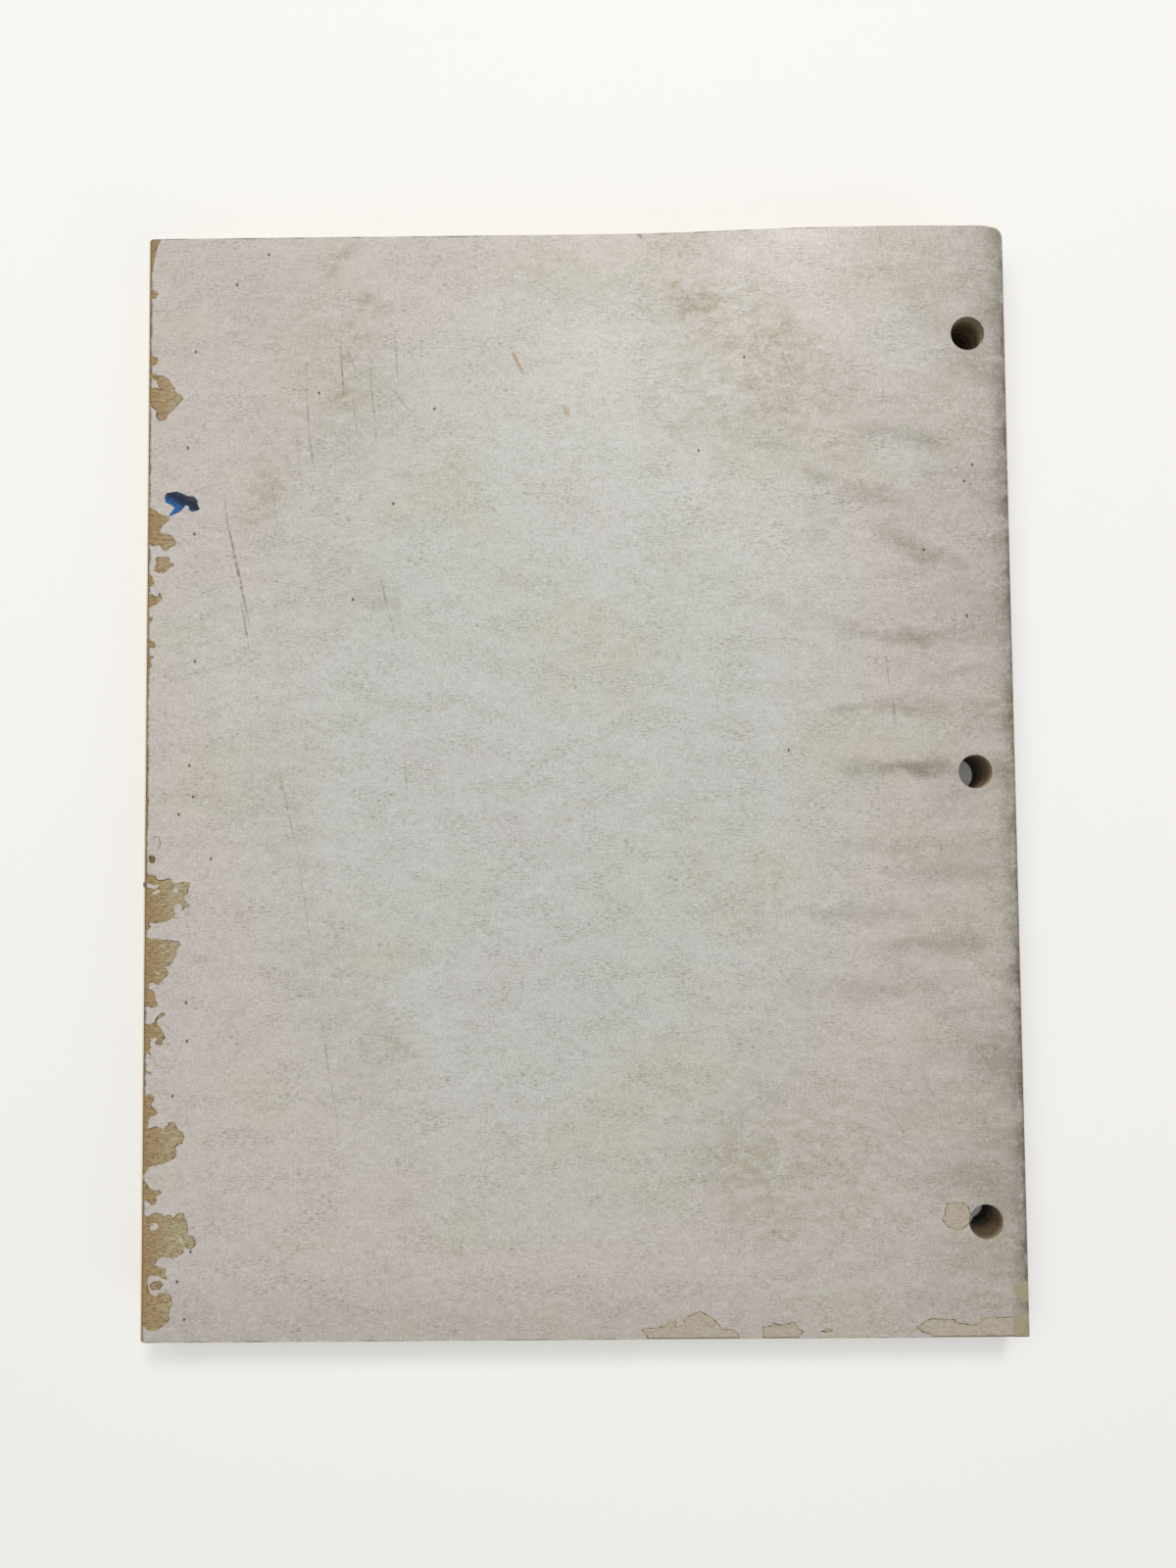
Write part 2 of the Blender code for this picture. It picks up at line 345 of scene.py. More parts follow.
# Coat lost along the tail and beside the lowest hole: mm in from the spine and up from the tail.
TAIL_FLAKES = outlines(
    (92.7, 2.3, 91.9, 2.75, 89.2, 2.75, 86.9, 3.3, 86, 4.1, 84, 4.1, 84.4, 2.8, 82.5, 3.4, 82.5, 4.6,
     80.9, 5.8, 79.5, 6.3, 78.4, 6.6, 76.9, 5.8, 75.2, 4.6, 73.9, 3.4, 73.5, 2.4, 71.2, 2.3, 69.5, 1.3,
     68.9, -1, 91.2, -1, 91.2, 0.6),
    (63.7, -1, 63.7, 0.9, 63.5, 2.9, 61.5, 3.1, 61, 3.8, 59.9, 3.3, 57.5, 3.4, 56.9, 3.9, 55.9, 3.8,
     55.2, 2.4, 53.9, 1.6, 54.9, 0.3, 54.9, -1),
    (49.9, 1.5, 48.6, 2.3, 47.2, 2.1, 46.9, 1.6, 48.3, 1.3),
    (23.5, -1, 23.5, 0.6, 25.5, 1.2, 27.2, 2.3, 26.1, 3.1, 24.5, 4.1, 23.2, 4.5, 20, 4.4, 18.1, 4.3,
     17.1, 3.5, 15, 3.1, 12.6, 2.9, 11.5, 4.1, 10.3, 4.7, 6, 4.7, 3.3, 4.9, 3.3, -1),
    (20.6, 27.8, 19.65, 28.8, 19.65, 30.35, 19.1, 31.5, 17.3, 31.7, 15.4, 31.7, 14, 30.7, 13.6, 29.4,
     13.2, 28.1, 13.8, 26.65, 15.4, 25.1, 17.1, 25.1, 18.9, 25.7, 19.8, 26.65),
)

# Hairline tears in the coat by the fore edge.
FORE_TEARS = outlines(
    (1.2, 149.4, 2.2, 149.15, 3.3, 149, 3.7, 151, 2.7, 152.9),
    (2.25, 149, 1.95, 151.4),
    (1.2, 155.7, 0.1, 157.8),
)

# A chip of blue print stuck to the cover near the fore edge.
BLUE_CHIP: Outline = [
    (4.1, 64.9), (4.7, 64.15), (6.1, 64.05), (7.1, 63.9), (8.35, 64.3), (9.9, 65.05), (11.4, 65.2),
    (12.1, 66.1), (12.3, 67.5), (12.8, 68.25), (12, 68.7), (10.8, 69), (10.05, 68.4), (10, 67.6),
    (9.25, 67.35), (8.5, 68.4), (7.4, 69.15), (6.4, 69.6), (5.3, 70.1), (5.15, 69.8), (6.05, 68.7),
    (6.5, 67.95), (5.8, 67.35), (4.25, 66.6), (4.1, 65.8),
]


@dataclass(frozen=True)
class Mark:
    """A soft mark between two places on a cover, fading from its middle out.

    Args:
        start: One end, across from the fore edge and down from the head, in mm.
        end: The other end.
        width: How wide it is, in mm.
        strength: How strongly it shows, from 0 to 1.
    """

    start: Place
    end: Place
    width: float
    strength: float


def soft_marks(*rows: Sequence[float]) -> list[Mark]:
    """Marks from rows of readings.

    Args:
        rows: For each mark, its two ends, its width and its strength.

    Returns:
        The marks.
    """
    return [Mark((row[0], row[1]), (row[2], row[3]), row[4], row[5]) for row in rows]


# Soil that fingers have rubbed in from the spine.
SPINE_STREAKS = soft_marks(
    (173, 50, 185, 50.2, 3, 0.45), (183, 50.4, 199, 55.8, 3.2, 0.5), (160, 59.8, 172, 63.6, 3, 0.35),
    (171, 65, 189, 68.4, 3.6, 0.62), (181, 75, 191, 82, 4.4, 0.62), (187, 81, 200, 84, 3.4, 0.45),
    (163, 97, 180, 101.2, 3.2, 0.42), (176, 101.5, 197, 101.9, 3, 0.85), (167, 120.6, 178, 118.2, 2.4, 0.5),
    (175, 118.2, 197, 119.9, 2.6, 0.55), (168, 133.2, 184, 133.9, 3, 0.5), (179, 133.8, 199, 134, 2.8, 0.95),
    (163, 153.4, 192, 152.6, 3, 0.32), (180, 158.5, 204, 160, 3, 0.3), (158, 168.8, 186, 169.6, 3.4, 0.3),
    (176, 177, 208, 176, 4, 0.42), (150, 186.4, 200, 188, 4, 0.28), (186, 199, 210, 201, 5, 0.3),
    (204, 21, 212, 23, 5, 0.5), (203, 36, 213, 38, 6, 0.55), (202, 92, 213, 94.5, 6, 0.5),
    (201, 119, 213, 121, 4, 0.4), (205, 134.6, 214, 134.8, 2.4, 0.8), (203, 205, 213, 209, 9, 0.45),
    (196, 228, 212, 236, 14, 0.45), (140, 18, 133, 17, 4, 0.3),
)

# Brown and olive stains.
STAINS = soft_marks(
    (51.8, 1.5, 43.6, 13, 3.4, 0.5), (51.5, 15.2, 60.5, 19.4, 3, 0.62), (52.6, 21, 50.4, 26.5, 5, 0.52),
    (44.5, 40.5, 50.5, 40.9, 4.4, 0.6), (29, 53, 31, 74, 8, 0.42), (25, 66, 28, 76, 6, 0.34),
    (57.6, 88, 59.4, 98, 6, 0.36), (128, 14.2, 132, 13.6, 3.6, 0.6), (131, 20.6, 141, 17.6, 4.6, 0.5),
    (122, 29, 162, 34, 24, 0.36), (150, 24, 174, 58, 18, 0.38), (118, 14, 150, 20, 16, 0.26),
    (187, 14, 195, 25, 6, 0.36), (160, 72, 170, 76, 8, 0.32), (30, 122, 38, 160, 12, 0.26),
    (40, 170, 56, 210, 16, 0.24), (150, 212, 176, 246, 34, 0.34), (140, 222, 148, 240, 20, 0.3),
    (56, 196, 66, 204, 6, 0.3), (47.5, 82, 52, 96, 12, 0.22), (149, 93, 163, 95, 5, 0.26),
    (74, 8, 112, 12, 10, 0.2), (196, 240, 212, 262, 16, 0.3), (24, 14, 56, 30, 18, 0.22),
    (34, 40, 62, 46, 22, 0.26), (120, 44, 164, 56, 12, 0.26),
)

# Small flecks where something brown has stuck and scraped off.
FLECKS = soft_marks(
    (90.2, 29.6, 91.4, 32.2, 0.6, 0.8), (91.2, 31.8, 92.8, 35.2, 0.7, 0.7),
    (102.8, 43.4, 104, 45.8, 1, 0.55), (151.3, 244.7, 151.8, 245, 0.7, 0.9),
)

# Places by the spine where the coat has worn down to the board.
BARE_PLACES = soft_marks(
    (205.5, 268.4, 214.5, 267.4, 3.6, 1), (209.9, 259.2, 213, 259.6, 2.6, 1),
)

# Dark dirt packed into the bare board at the fore edge.
DIRTY_BOARD = soft_marks(
    (0.6, 153.8, 2.6, 155.2, 2.6, 0.85), (0.4, 61, 1.4, 63.4, 1.2, 0.5),
)

# Cleaner places, and thin drips of something clear.
CLEAN_PLACES = soft_marks(
    (182, 24, 191, 33, 11, 0.5), (181, 53, 192, 60, 9, 0.55), (146, 8, 146, 25, 3, 0.42),
    (146, 60, 164, 90, 22, 0.35), (120, 10, 121, 34, 8, 0.3), (176, 122, 196, 127, 5, 0.3),
    (150, 226, 155, 234, 7, 0.18), (10, 88, 30, 128, 18, 0.3),
)

# Scratches with dirt in them, and where something hard has rubbed.
SCRATCHES = soft_marks(
    (18.6, 64, 19.6, 72, 0.4, 0.4), (19.2, 69.6, 25.2, 97.6, 0.42, 0.95), (23, 91, 25.2, 104, 0.36, 0.75),
    (47.4, 25.2, 48, 36, 0.34, 0.55), (47.8, 32.6, 48.4, 40.6, 0.34, 0.6),
    (48.9, 28.2, 51.2, 33.6, 0.36, 0.42), (54, 29.2, 55.7, 32.2, 0.36, 0.5),
    (54.7, 31, 55.7, 44.2, 0.34, 0.5), (55.6, 43, 56.5, 52.4, 0.34, 0.45),
    (60.9, 24, 61.9, 39.2, 0.32, 0.42), (60, 38.4, 64.8, 44.2, 0.36, 0.5), (50.4, 41, 51.8, 50.6, 0.34, 0.4),
    (39, 36, 39.9, 52.4, 0.38, 0.45), (39.7, 50, 41, 59, 0.38, 0.55), (57.5, 86.4, 59, 93.2, 0.34, 0.6),
    (58.8, 92, 61.7, 103.4, 0.32, 0.4), (30.3, 60, 31.9, 73, 0.36, 0.35), (31.6, 129, 37, 153, 0.34, 0.38),
    (37, 152, 41.4, 182, 0.32, 0.32), (42.4, 191, 47.6, 222, 0.34, 0.36), (63.2, 129, 64, 141, 0.36, 0.4),
    (156, 29, 159.4, 37.6, 0.44, 0.5), (150.4, 24.8, 150.9, 31.4, 0.36, 0.35),
    (181, 105.6, 182, 114.6, 0.36, 0.45), (182.6, 115, 183.1, 123.2, 0.36, 0.4),
    (36.4, 44, 37.6, 62, 0.34, 0.3), (121.6, 0.2, 122.8, 1.2, 0.6, 1), (123, 1.2, 123.4, 1.8, 0.4, 0.6),
)

# Small dark specks, as they measure and from the fore edge and down from the head, all in mm.
SPECK_REACH, SPECK_WIDTH = 0.1, 0.52
SPECKS: list[Place] = [
    (9.7, 53), (11.4, 74.5), (11.8, 106.2), (10.6, 131.8), (11.6, 139.4), (8.1, 143.7), (16, 154.6),
    (10.2, 189.3), (10.5, 198.5), (7.1, 211.6), (11.7, 248.6), (8.5, 255.6), (10.3, 264.5), (42.2, 39.5),
    (60.6, 67.5), (29.6, 4.3), (21.7, 11.9), (11.5, 28.8), (70.8, 43.8), (50.6, 91.2), (147.5, 32),
    (136, 55), (203.2, 59.4), (157, 129.3), (191, 80.3), (201.2, 63.4), (201.2, 96.7),
]


# ---------------------------------------------------------------------------------------------------
# Finishes
# ---------------------------------------------------------------------------------------------------

# Sockets of a colour Mix node.
FACTOR, BELOW, ABOVE = 0, 6, 7
MIXED = 2

# The clean oval in the middle of a cover: its centre from the fore edge and the head, and its reach, in mm.
OVAL_CENTRE = (99.0, 128.0)
OVAL_REACH = (92.0, 140.0)


@dataclass(frozen=True)
class Ramp:
    """How much of a coat shows, as a smooth rise while a value goes from one limit to another.

    Args:
        value: Socket with the value.
        low: The value where the rise starts.
        high: The value where it ends.
        most: How much shows at its end.
        least: How much shows at its start.
    """

    value: Any
    low: float
    high: float
    most: float = 1.0
    least: float = 0.0


class Coats:
    """Coats of colour, with their gloss and relief, laid one on another in a node material."""

    def __init__(self, name: str) -> None:
        """Begin a material.

        Args:
            name: The material's name.
        """
        self.material = bpy.data.materials.new(name)
        self.material.use_nodes = True
        self.tree = self.material.node_tree
        self.shader = self.tree.nodes["Principled BSDF"]
        self.place = self.tree.nodes.new("ShaderNodeTexCoord").outputs["Object"]
        self.colour: Any = None

    def feed(self, node: Node, values: dict) -> None:
        """Give a node its settings and links.

        Args:
            node: The node.
            values: What it takes, by property name, or by input name or number. A socket is linked, and a
                hex code stands for a colour.
        """
        for name, value in values.items():
            if isinstance(name, str) and hasattr(node, name):
                setattr(node, name, value)
            elif isinstance(value, NodeSocket):
                self.tree.links.new(value, node.inputs[name])
            else:
                node.inputs[name].default_value = linear(value) if isinstance(value, str) else value

    def add(self, kind: str, values: dict, out: int = 0) -> Any:
        """Add a shader node with its settings and links.

        Args:
            kind: The node's type name after "ShaderNode".
            values: What it takes, as for feed.
            out: Number of the output that is wanted.

        Returns:
            That output's socket.
        """
        node = self.tree.nodes.new("ShaderNode" + kind)
        self.feed(node, values)
        return node.outputs[out]

    def axes(self) -> tuple[Any, ...]:
        """Sockets with the object's X, Y and Z."""
        return tuple(self.add("SeparateXYZ", {0: self.place}).node.outputs)

    def inset(self, book: Book) -> Any:
        """How far a place lies in from the fore edge, the head or the tail, whichever is nearest.

        Args:
            book: Sizes of the book.

        Returns:
            Socket with the distance in metres.
        """
        x, y, _ = self.axes()
        reach = self.add("Math", {"operation": "ABSOLUTE", 0: y})
        from_end = self.add("Math", {"operation": "SUBTRACT", 0: book.head, 1: reach})
        from_fore = self.add("Math", {"operation": "SUBTRACT", 0: x, 1: book.fore})
        return self.add("Math", {"operation": "MINIMUM", 0: from_end, 1: from_fore})

    def grain(self, across: float, along: float, detail: float = 3.0) -> Any:
        """Noise whose grains have a real size.

        Args:
            across: Length of a grain along X, in mm.
            along: Length of a grain along Y, in mm.
            detail: Octaves of finer noise.

        Returns:
            Socket with the noise, about 0.5 on average.
        """
        size = (1 / (across * MM), 1 / (along * MM), 1 / (along * MM))
        mapped = self.add("Mapping", {"Vector": self.place, "Scale": size})
        return self.add("TexNoise", {"Vector": mapped, "Scale": 1.0, "Detail": detail, "Roughness": 0.55})

    def strayed(self, bend: float, detail: float, across: float, along: float) -> Any:
        """Object coordinates that stray, so that marks placed by them have ragged borders.

        Args:
            bend: Size of the stray's bends, in mm.
            detail: Octaves of finer bends.
            across: How far they stray along X, in mm.
            along: How far they stray along Y, in mm.

        Returns:
            Socket with the coordinates.
        """
        wander = self.add("TexNoise", {"Vector": self.place, "Scale": 1 / (bend * MM), "Detail": detail}, 1)
        centred = self.add("VectorMath", {"operation": "SUBTRACT", 0: wander, 1: (0.5, 0.5, 0.5)})
        reach = (across * MM, along * MM, 0.0)
        return self.add("VectorMath", {"operation": "MULTIPLY_ADD", 0: centred, 1: reach, 2: self.place})

    def marks(self, book: Book, marks: Iterable[Mark], gain: float, place: Any = None) -> Any:
        """All the marks of one kind, laid over one another.

        Args:
            book: Sizes of the book.
            marks: The marks.
            gain: How firm they are: 1 fades all the way from the middle, and more has a full core.
            place: Socket with the coordinates that place them, if not the object's own.

        Returns:
            Socket with how much of the mark lies at a place.
        """
        total: Any = 0.0
        for mark in marks:
            start, end = (Vector(book.from_fore(p)) for p in (mark.start, mark.end))
            middle, run = (start + end) / 2.0, end - start
            reach = run.length / 2.0 * 1.15 + mark.width * MM / 2.0
            spot = self.add("Mapping", {
                "vector_type": "TEXTURE", "Vector": self.place if place is None else place,
                "Location": (middle.x, middle.y, book.top),
                "Rotation": (0.0, 0.0, math.atan2(run.y, run.x)), "Scale": (reach, mark.width * MM, 1.0),
            })
            spot = self.add("TexGradient", {"gradient_type": "SPHERICAL", "Vector": spot}, 1)
            firm = self.add("Math", {"operation": "MULTIPLY", "use_clamp": True, 0: spot, 1: gain})
            total = self.add("Math", {"operation": "MULTIPLY_ADD", 0: firm, 1: mark.strength, 2: total})
        return total

    def shown(self, *masks: Any) -> Any:
        """How much of a coat shows under all its masks.

        Args:
            masks: Ramps, and sockets with values from 0 to 1.

        Returns:
            Socket with their product.
        """
        product: Any = None
        for mask in masks:
            if isinstance(mask, Ramp):
                limits = {0: mask.value, 1: mask.low, 2: mask.high, 3: mask.least, 4: mask.most}
                mask = self.add("MapRange", {"interpolation_type": "SMOOTHSTEP", **limits})
            if product is not None:
                mask = self.add("Math", {"operation": "MULTIPLY", 0: product, 1: mask})
            product = mask
        return product

    def over(self, below: Any, above: Any, *masks: Any) -> Any:
        """One colour laid over another.

        Args:
            below: Colour below, as a socket or a hex code.
            above: Colour above, as a socket or a hex code.
            masks: Where the colour above shows, as for shown.

        Returns:
            Socket with the mixed colour.
        """
        layers = {FACTOR: self.shown(*masks), BELOW: below, ABOVE: above}
        return self.add("Mix", {"data_type": "RGBA", **layers}, MIXED)

    def lay(self, colour: Any, *masks: Any) -> None:
        """Lay a colour over the coats so far, where all its masks show it."""
        self.colour = self.over(self.colour, colour, *masks)

    def relief(self, height: Any, depth: float, strength: float = 1.0) -> None:
        """Give the surface a relief of a real depth.

        Args:
            height: Socket with the relief, from 0 to 1.
            depth: Depth of the relief, in mm.
            strength: How much of it shows.
        """
        bump = self.add("Bump", {"Distance": depth * MM, "Strength": strength, "Height": height})
        self.feed(self.shader, {"Normal": bump})


class Finish:
    """A finish that can make its own material."""

    name = "finish"

    def material(self) -> Material:
        """Make the finish's material."""
        coats = Coats(self.name)
        self.dress(coats)
        coats.feed(coats.shader, {"Base Color": coats.colour})
        return coats.material

    def dress(self, coats: Coats) -> None:
        """Lay the finish's colours, gloss and relief.

        Args:
            coats: The coats, still bare.
        """
        raise NotImplementedError


@dataclass(frozen=True)
class CoatedBoard(Finish):
    """Clay-coated cover board, offset printed in one pale grey and varnished.

    The coat is smooth, so it shines softly, and years of hands have rubbed soil into it from the spine and
    the fore edge. The fibres of the board below show through as short dark strokes along the grain.

    Args:
        book: Sizes of the book.
        name: The material's name.
        streaks: Soil rubbed in from the spine.
        stains: Brown and olive stains.
        clean: Cleaner places.
        flecks: Small brown flecks.
        scratches: Scratches with dirt in them.
        specks: Small dark specks.
        bare: Places by the spine where the coat has worn through.
        print_grey: The print where it is clean.
        margin: The print where hands have toned it.
        soil: Rubbed-in soil.
        stain: What the stains are mixed to.
        dirt: Dirt in scratches and on edges.
    """

    book: Book
    name: str = "clay_coated_cover_board"
    streaks: Sequence[Mark] = ()
    stains: Sequence[Mark] = ()
    clean: Sequence[Mark] = ()
    flecks: Sequence[Mark] = ()
    scratches: Sequence[Mark] = ()
    specks: Sequence[Mark] = ()
    bare: Sequence[Mark] = ()
    print_grey: str = "bfc0bb"
    margin: str = "c2bab4"
    soil: str = "827968"
    stain: str = "969070"
    dirt: str = "54493b"

    def dress(self, coats: Coats) -> None:
        """Lay the print and its toning, the soil and the darkening by the spine and the tail, the board's
        grain and the wear, in that order.

        Args:
            coats: The coats, still bare.
        """
        ragged = coats.strayed(6.0, 5.0, 12.0, 6.0)
        clouds = self.tone(coats, ragged)
        self.darken_towards_spine_and_tail(coats, ragged)
        strokes, dark, grit = self.show_grain(coats)
        self.mark_wear(coats, dark)
        self.soil_edges(coats)
        # Varnish: satin, duller where it is soiled, with the faint grain of the board pressed through it.
        satin = coats.shown(Ramp(clouds, 0.3, 0.7, 0.44, 0.34))
        coats.feed(coats.shader, {"Roughness": satin, "IOR": 1.5})
        pressed = coats.add("Math", {"operation": "MULTIPLY_ADD", 0: strokes, 1: 0.6, 2: grit})
        coats.relief(pressed, 0.02, 0.8)

    def tone(self, coats: Coats, ragged: Any) -> Any:
        """Lay the print, with its clean oval, its clouds and its stains.

        Args:
            coats: The coats so far.
            ragged: Socket with coordinates that stray by some millimetres.

        Returns:
            Socket with the clouds.
        """
        book = self.book
        # The clean oval in the middle of the panel, against margins toned by hands.
        oval = coats.add("Mapping", {
            "vector_type": "TEXTURE", "Vector": ragged, "Location": (*book.from_fore(OVAL_CENTRE), book.top),
            "Scale": (OVAL_REACH[0] * MM, OVAL_REACH[1] * MM, 1.0),
        })
        oval = coats.add("TexGradient", {"gradient_type": "SPHERICAL", "Vector": oval}, 1)
        coats.colour = self.margin
        coats.lay(self.print_grey, Ramp(oval, 0.0, 0.55))
        # Cloudy toning, 30 mm across, between olive and a faint pink.
        clouds = coats.grain(34, 26, 4.0)
        coats.lay("bcb8a2", Ramp(clouds, 0.50, 0.72, 0.55))
        coats.lay("beb3af", Ramp(clouds, 0.48, 0.30, 0.36))
        if self.clean:
            coats.lay("c6c7c2", coats.marks(book, self.clean, 1.4, ragged))
        if self.stains:
            broken = Ramp(coats.grain(4.2, 2.2, 6.0), 0.40, 0.60, 0.95, 0.20)
            coats.lay(self.stain, coats.marks(book, self.stains, 1.25, ragged), broken)
        return clouds

    def darken_towards_spine_and_tail(self, coats: Coats, ragged: Any) -> None:
        """Soil towards the spine, drawn out along the grain, painted darker over the last few millimetres
        with blotches, and darker towards the tail.

        Args:
            coats: The coats so far.
            ragged: Socket with coordinates that stray by some millimetres.
        """
        book = self.book
        x, y, z = coats.axes()
        drawn = coats.grain(13, 4.5, 6.0)
        spine_side = Ramp(x, book.spine - 46 * MM, book.spine + 4 * MM, 0.62)
        coats.lay(self.soil, spine_side, Ramp(drawn, 0.32, 0.70, 0.80, 0.20))
        if self.streaks:
            streaks = coats.marks(book, self.streaks, 1.2, ragged)
            coats.lay(self.soil, streaks, Ramp(drawn, 0.30, 0.62, 0.95, 0.55))
        # The covers and their folds, but not the spine's face, are painted darker over the last few
        # millimetres before the spine, with dark blotches on the very edge.
        middle = book.top / 2.0
        height = coats.add("Math", {"operation": "SUBTRACT", 0: z, 1: middle})
        height = coats.add("Math", {"operation": "ABSOLUTE", 0: height})
        side = Ramp(height, middle - 1.4 * MM, middle - 0.2 * MM)
        rubbed = coats.grain(3.0, 4.5, 6.0)
        last = Ramp(x, book.spine - 5.5 * MM, book.spine - 0.5 * MM, 0.72)
        coats.lay("6a5b53", last, side, Ramp(rubbed, 0.35, 0.65, 1.0, 0.35))
        blotch = coats.add("Math", {"operation": "MULTIPLY_ADD", 0: rubbed, 1: 3.4 * MM, 2: x})
        coats.lay(self.dirt, Ramp(blotch, book.spine + 0.1 * MM, book.spine + 1.8 * MM, 0.85), side)
        # Darker towards the tail over its last 22 mm.
        coats.lay(self.soil, Ramp(y, -book.head + 22 * MM, -book.head, 0.20))

    def show_grain(self, coats: Coats) -> tuple[Any, Any, Any]:
        """Fibre strokes of the board: real fibres are 0.03 mm wide, drawn 0.25 mm wide so that they show.

        Args:
            coats: The coats so far.

        Returns:
            Sockets with the strokes, with how dark they are, and with the grit between them.
        """
        crowding = Ramp(coats.grain(11, 5, 4.0), 0.40, 0.66, 1.0, 0.25)
        strokes = coats.grain(1.5, 0.25, 4.0)
        dark = coats.shown(Ramp(strokes, 0.47, 0.68, 0.78), crowding)
        coats.lay("7a7563", dark)
        grit = coats.grain(0.55, 0.38)
        mottle = coats.grain(2.6, 1.3, 5.0)
        crossing = coats.grain(0.35, 1.8)
        coats.lay("7b7667", Ramp(grit, 0.50, 0.70, 0.32))
        coats.lay("dddbd4", Ramp(grit, 0.46, 0.28, 0.36))
        coats.lay("98937f", Ramp(mottle, 0.50, 0.68, 0.20))
        coats.lay("d3d2cc", Ramp(mottle, 0.48, 0.32, 0.20))
        coats.lay("85806f", Ramp(crossing, 0.52, 0.70, 0.20))
        coats.lay("d8d6d0", Ramp(crossing, 0.46, 0.30, 0.20))
        return strokes, dark, grit

    def mark_wear(self, coats: Coats, dark: Any) -> None:
        """Flecks, scratches, specks and places worn bare, where the panel has them.

        Args:
            coats: The coats so far.
            dark: Socket with how dark the board's strokes are.
        """
        book = self.book
        if self.flecks:
            coats.lay("a38657", coats.marks(book, self.flecks, 1.8))
        if self.scratches:
            uneven = Ramp(coats.grain(1.2, 1.6), 0.34, 0.60, 0.8, 0.10)
            coats.lay("62543f", coats.marks(book, self.scratches, 2.0), uneven)
        if self.specks:
            coats.lay("2c2721", coats.marks(book, self.specks, 2.0))
        if self.bare:
            bare = coats.marks(book, self.bare, 9.0, coats.strayed(1.6, 4.0, 2.4, 2.4))
            coats.lay("a2987f", bare)
            coats.lay("7a6a50", bare, dark)

    def soil_edges(self, coats: Coats) -> None:
        """Grime on the very edge along the fore edge, and in patches at the head and the tail.

        Args:
            coats: The coats so far.
        """
        book = self.book
        x, y, _ = coats.axes()
        wavy, patches = coats.grain(1.5, 1.5, 4.0), coats.grain(7, 2, 4.0)
        inset = coats.add("Math", {"operation": "MULTIPLY_ADD", 0: wavy, 1: -1.3 * MM, 2: x})
        fore = coats.shown(Ramp(inset, book.fore + 0.25 * MM, book.fore - 0.45 * MM, 0.85))
        reach = coats.add("Math", {"operation": "ABSOLUTE", 0: y})
        ends = coats.add("Math", {"operation": "MULTIPLY_ADD", 0: patches, 1: 1.6 * MM, 2: reach})
        ends = coats.shown(Ramp(ends, book.head + 0.55 * MM, book.head + 0.95 * MM, 0.85))
        coats.lay(self.dirt, coats.add("Math", {"operation": "MAXIMUM", 0: fore, 1: ends}))


@dataclass(frozen=True)
class BoardCore(Finish):
    """Solid bleached board bared where its coat is gone: matt tan fibre, browner near the edges.

    Args:
        book: Sizes of the book.
        name: The material's name.
        fibre: The clean core.
        edge: The core where hands have soiled it, near the fore edge.
        aged: The core away from the fore edge, bared long ago.
    """

    book: Book
    name: str = "bare_fibre_board"
    fibre: str = "aa9f80"
    edge: str = "9f855f"
    aged: str = "b2a999"

    def dress(self, coats: Coats) -> None:
        """Lay the fibre's tones, its strokes and wrinkles, and the dirt in it.

        Args:
            coats: The coats, still bare.
        """
        book = self.book
        x = coats.axes()[0]
        inland = (x, book.fore + 20 * MM, book.fore + 60 * MM)
        blotch = coats.grain(4.0, 3.0, 4.0)
        reach = coats.add("Math", {"operation": "MULTIPLY_ADD", 0: blotch, 1: 8 * MM, 2: x})
        coats.colour = self.fibre
        coats.lay(self.aged, Ramp(*inland))
        coats.lay(self.edge, Ramp(reach, book.fore + 12 * MM, book.fore + 4 * MM))
        coats.lay("86704f", Ramp(blotch, 0.50, 0.72, 0.45))
        strokes = coats.grain(1.4, 0.26)
        coats.lay("67523a", Ramp(strokes, 0.47, 0.66, 0.62))
        coats.lay("c6b998", Ramp(strokes, 0.44, 0.26, 0.55))
        wrinkles = coats.grain(0.9, 0.7, 4.0)
        coats.lay("6e5a40", Ramp(wrinkles, 0.54, 0.66, 0.55))
        # Inland it has been rubbed smooth, so its tones are closer together.
        coats.lay(self.aged, Ramp(*inland, 0.5))
        # The cut edge all round has taken up the most dirt.
        coats.lay("66573f", Ramp(coats.inset(book), 0.55 * MM, 0.1 * MM, 0.8))
        coats.lay("4c3d2e", coats.marks(book, DIRTY_BOARD, 2.2), Ramp(wrinkles, 0.34, 0.56, 1.0, 0.55))
        coats.feed(coats.shader, {"Roughness": 0.88})
        coats.relief(strokes, 0.05)


@dataclass(frozen=True)
class TornRim(Finish):
    """The frayed border of a flake, torn down to the core: matt fibre, painted dark brown in places as shade
    along the flake's edge.
    """

    name: str = "torn_fibre_and_painted_shade"

    def dress(self, coats: Coats) -> None:
        """Lay the fibre, and dark brown in places as painted shade along the flake's edge.

        Args:
            coats: The coats, still bare.
        """
        broken = coats.grain(1.3, 0.9, 4.0)
        coats.colour = "a4936f"
        # Painted shade: dark brown in places along the flake's edge.
        coats.lay("5d4b34", Ramp(broken, 0.44, 0.62))
        coats.feed(coats.shader, {"Roughness": 0.9})
        coats.relief(broken, 0.05)


@dataclass(frozen=True)
class UncoatedLining(Finish):
    """The board's uncoated inner side: matt off-white with a faint felt texture, toned at the fore edge."""

    book: Book
    name: str = "uncoated_board_lining"

    def dress(self, coats: Coats) -> None:
        """Lay the lining's clouds, its toning and its felt.

        Args:
            coats: The coats, still bare.
        """
        book = self.book
        felt = coats.grain(1.4, 0.8, 4.0)
        coats.colour = "ddd5c2"
        coats.lay("d3c8b0", Ramp(coats.grain(40, 30), 0.3, 0.7))
        coats.lay("b89f76", Ramp(coats.axes()[0], book.fore + 16 * MM, book.fore, 0.55))
        coats.lay("a99c82", Ramp(felt, 0.50, 0.80, 0.30))
        coats.feed(coats.shader, {"Roughness": 0.82})
        coats.relief(felt, 0.03)


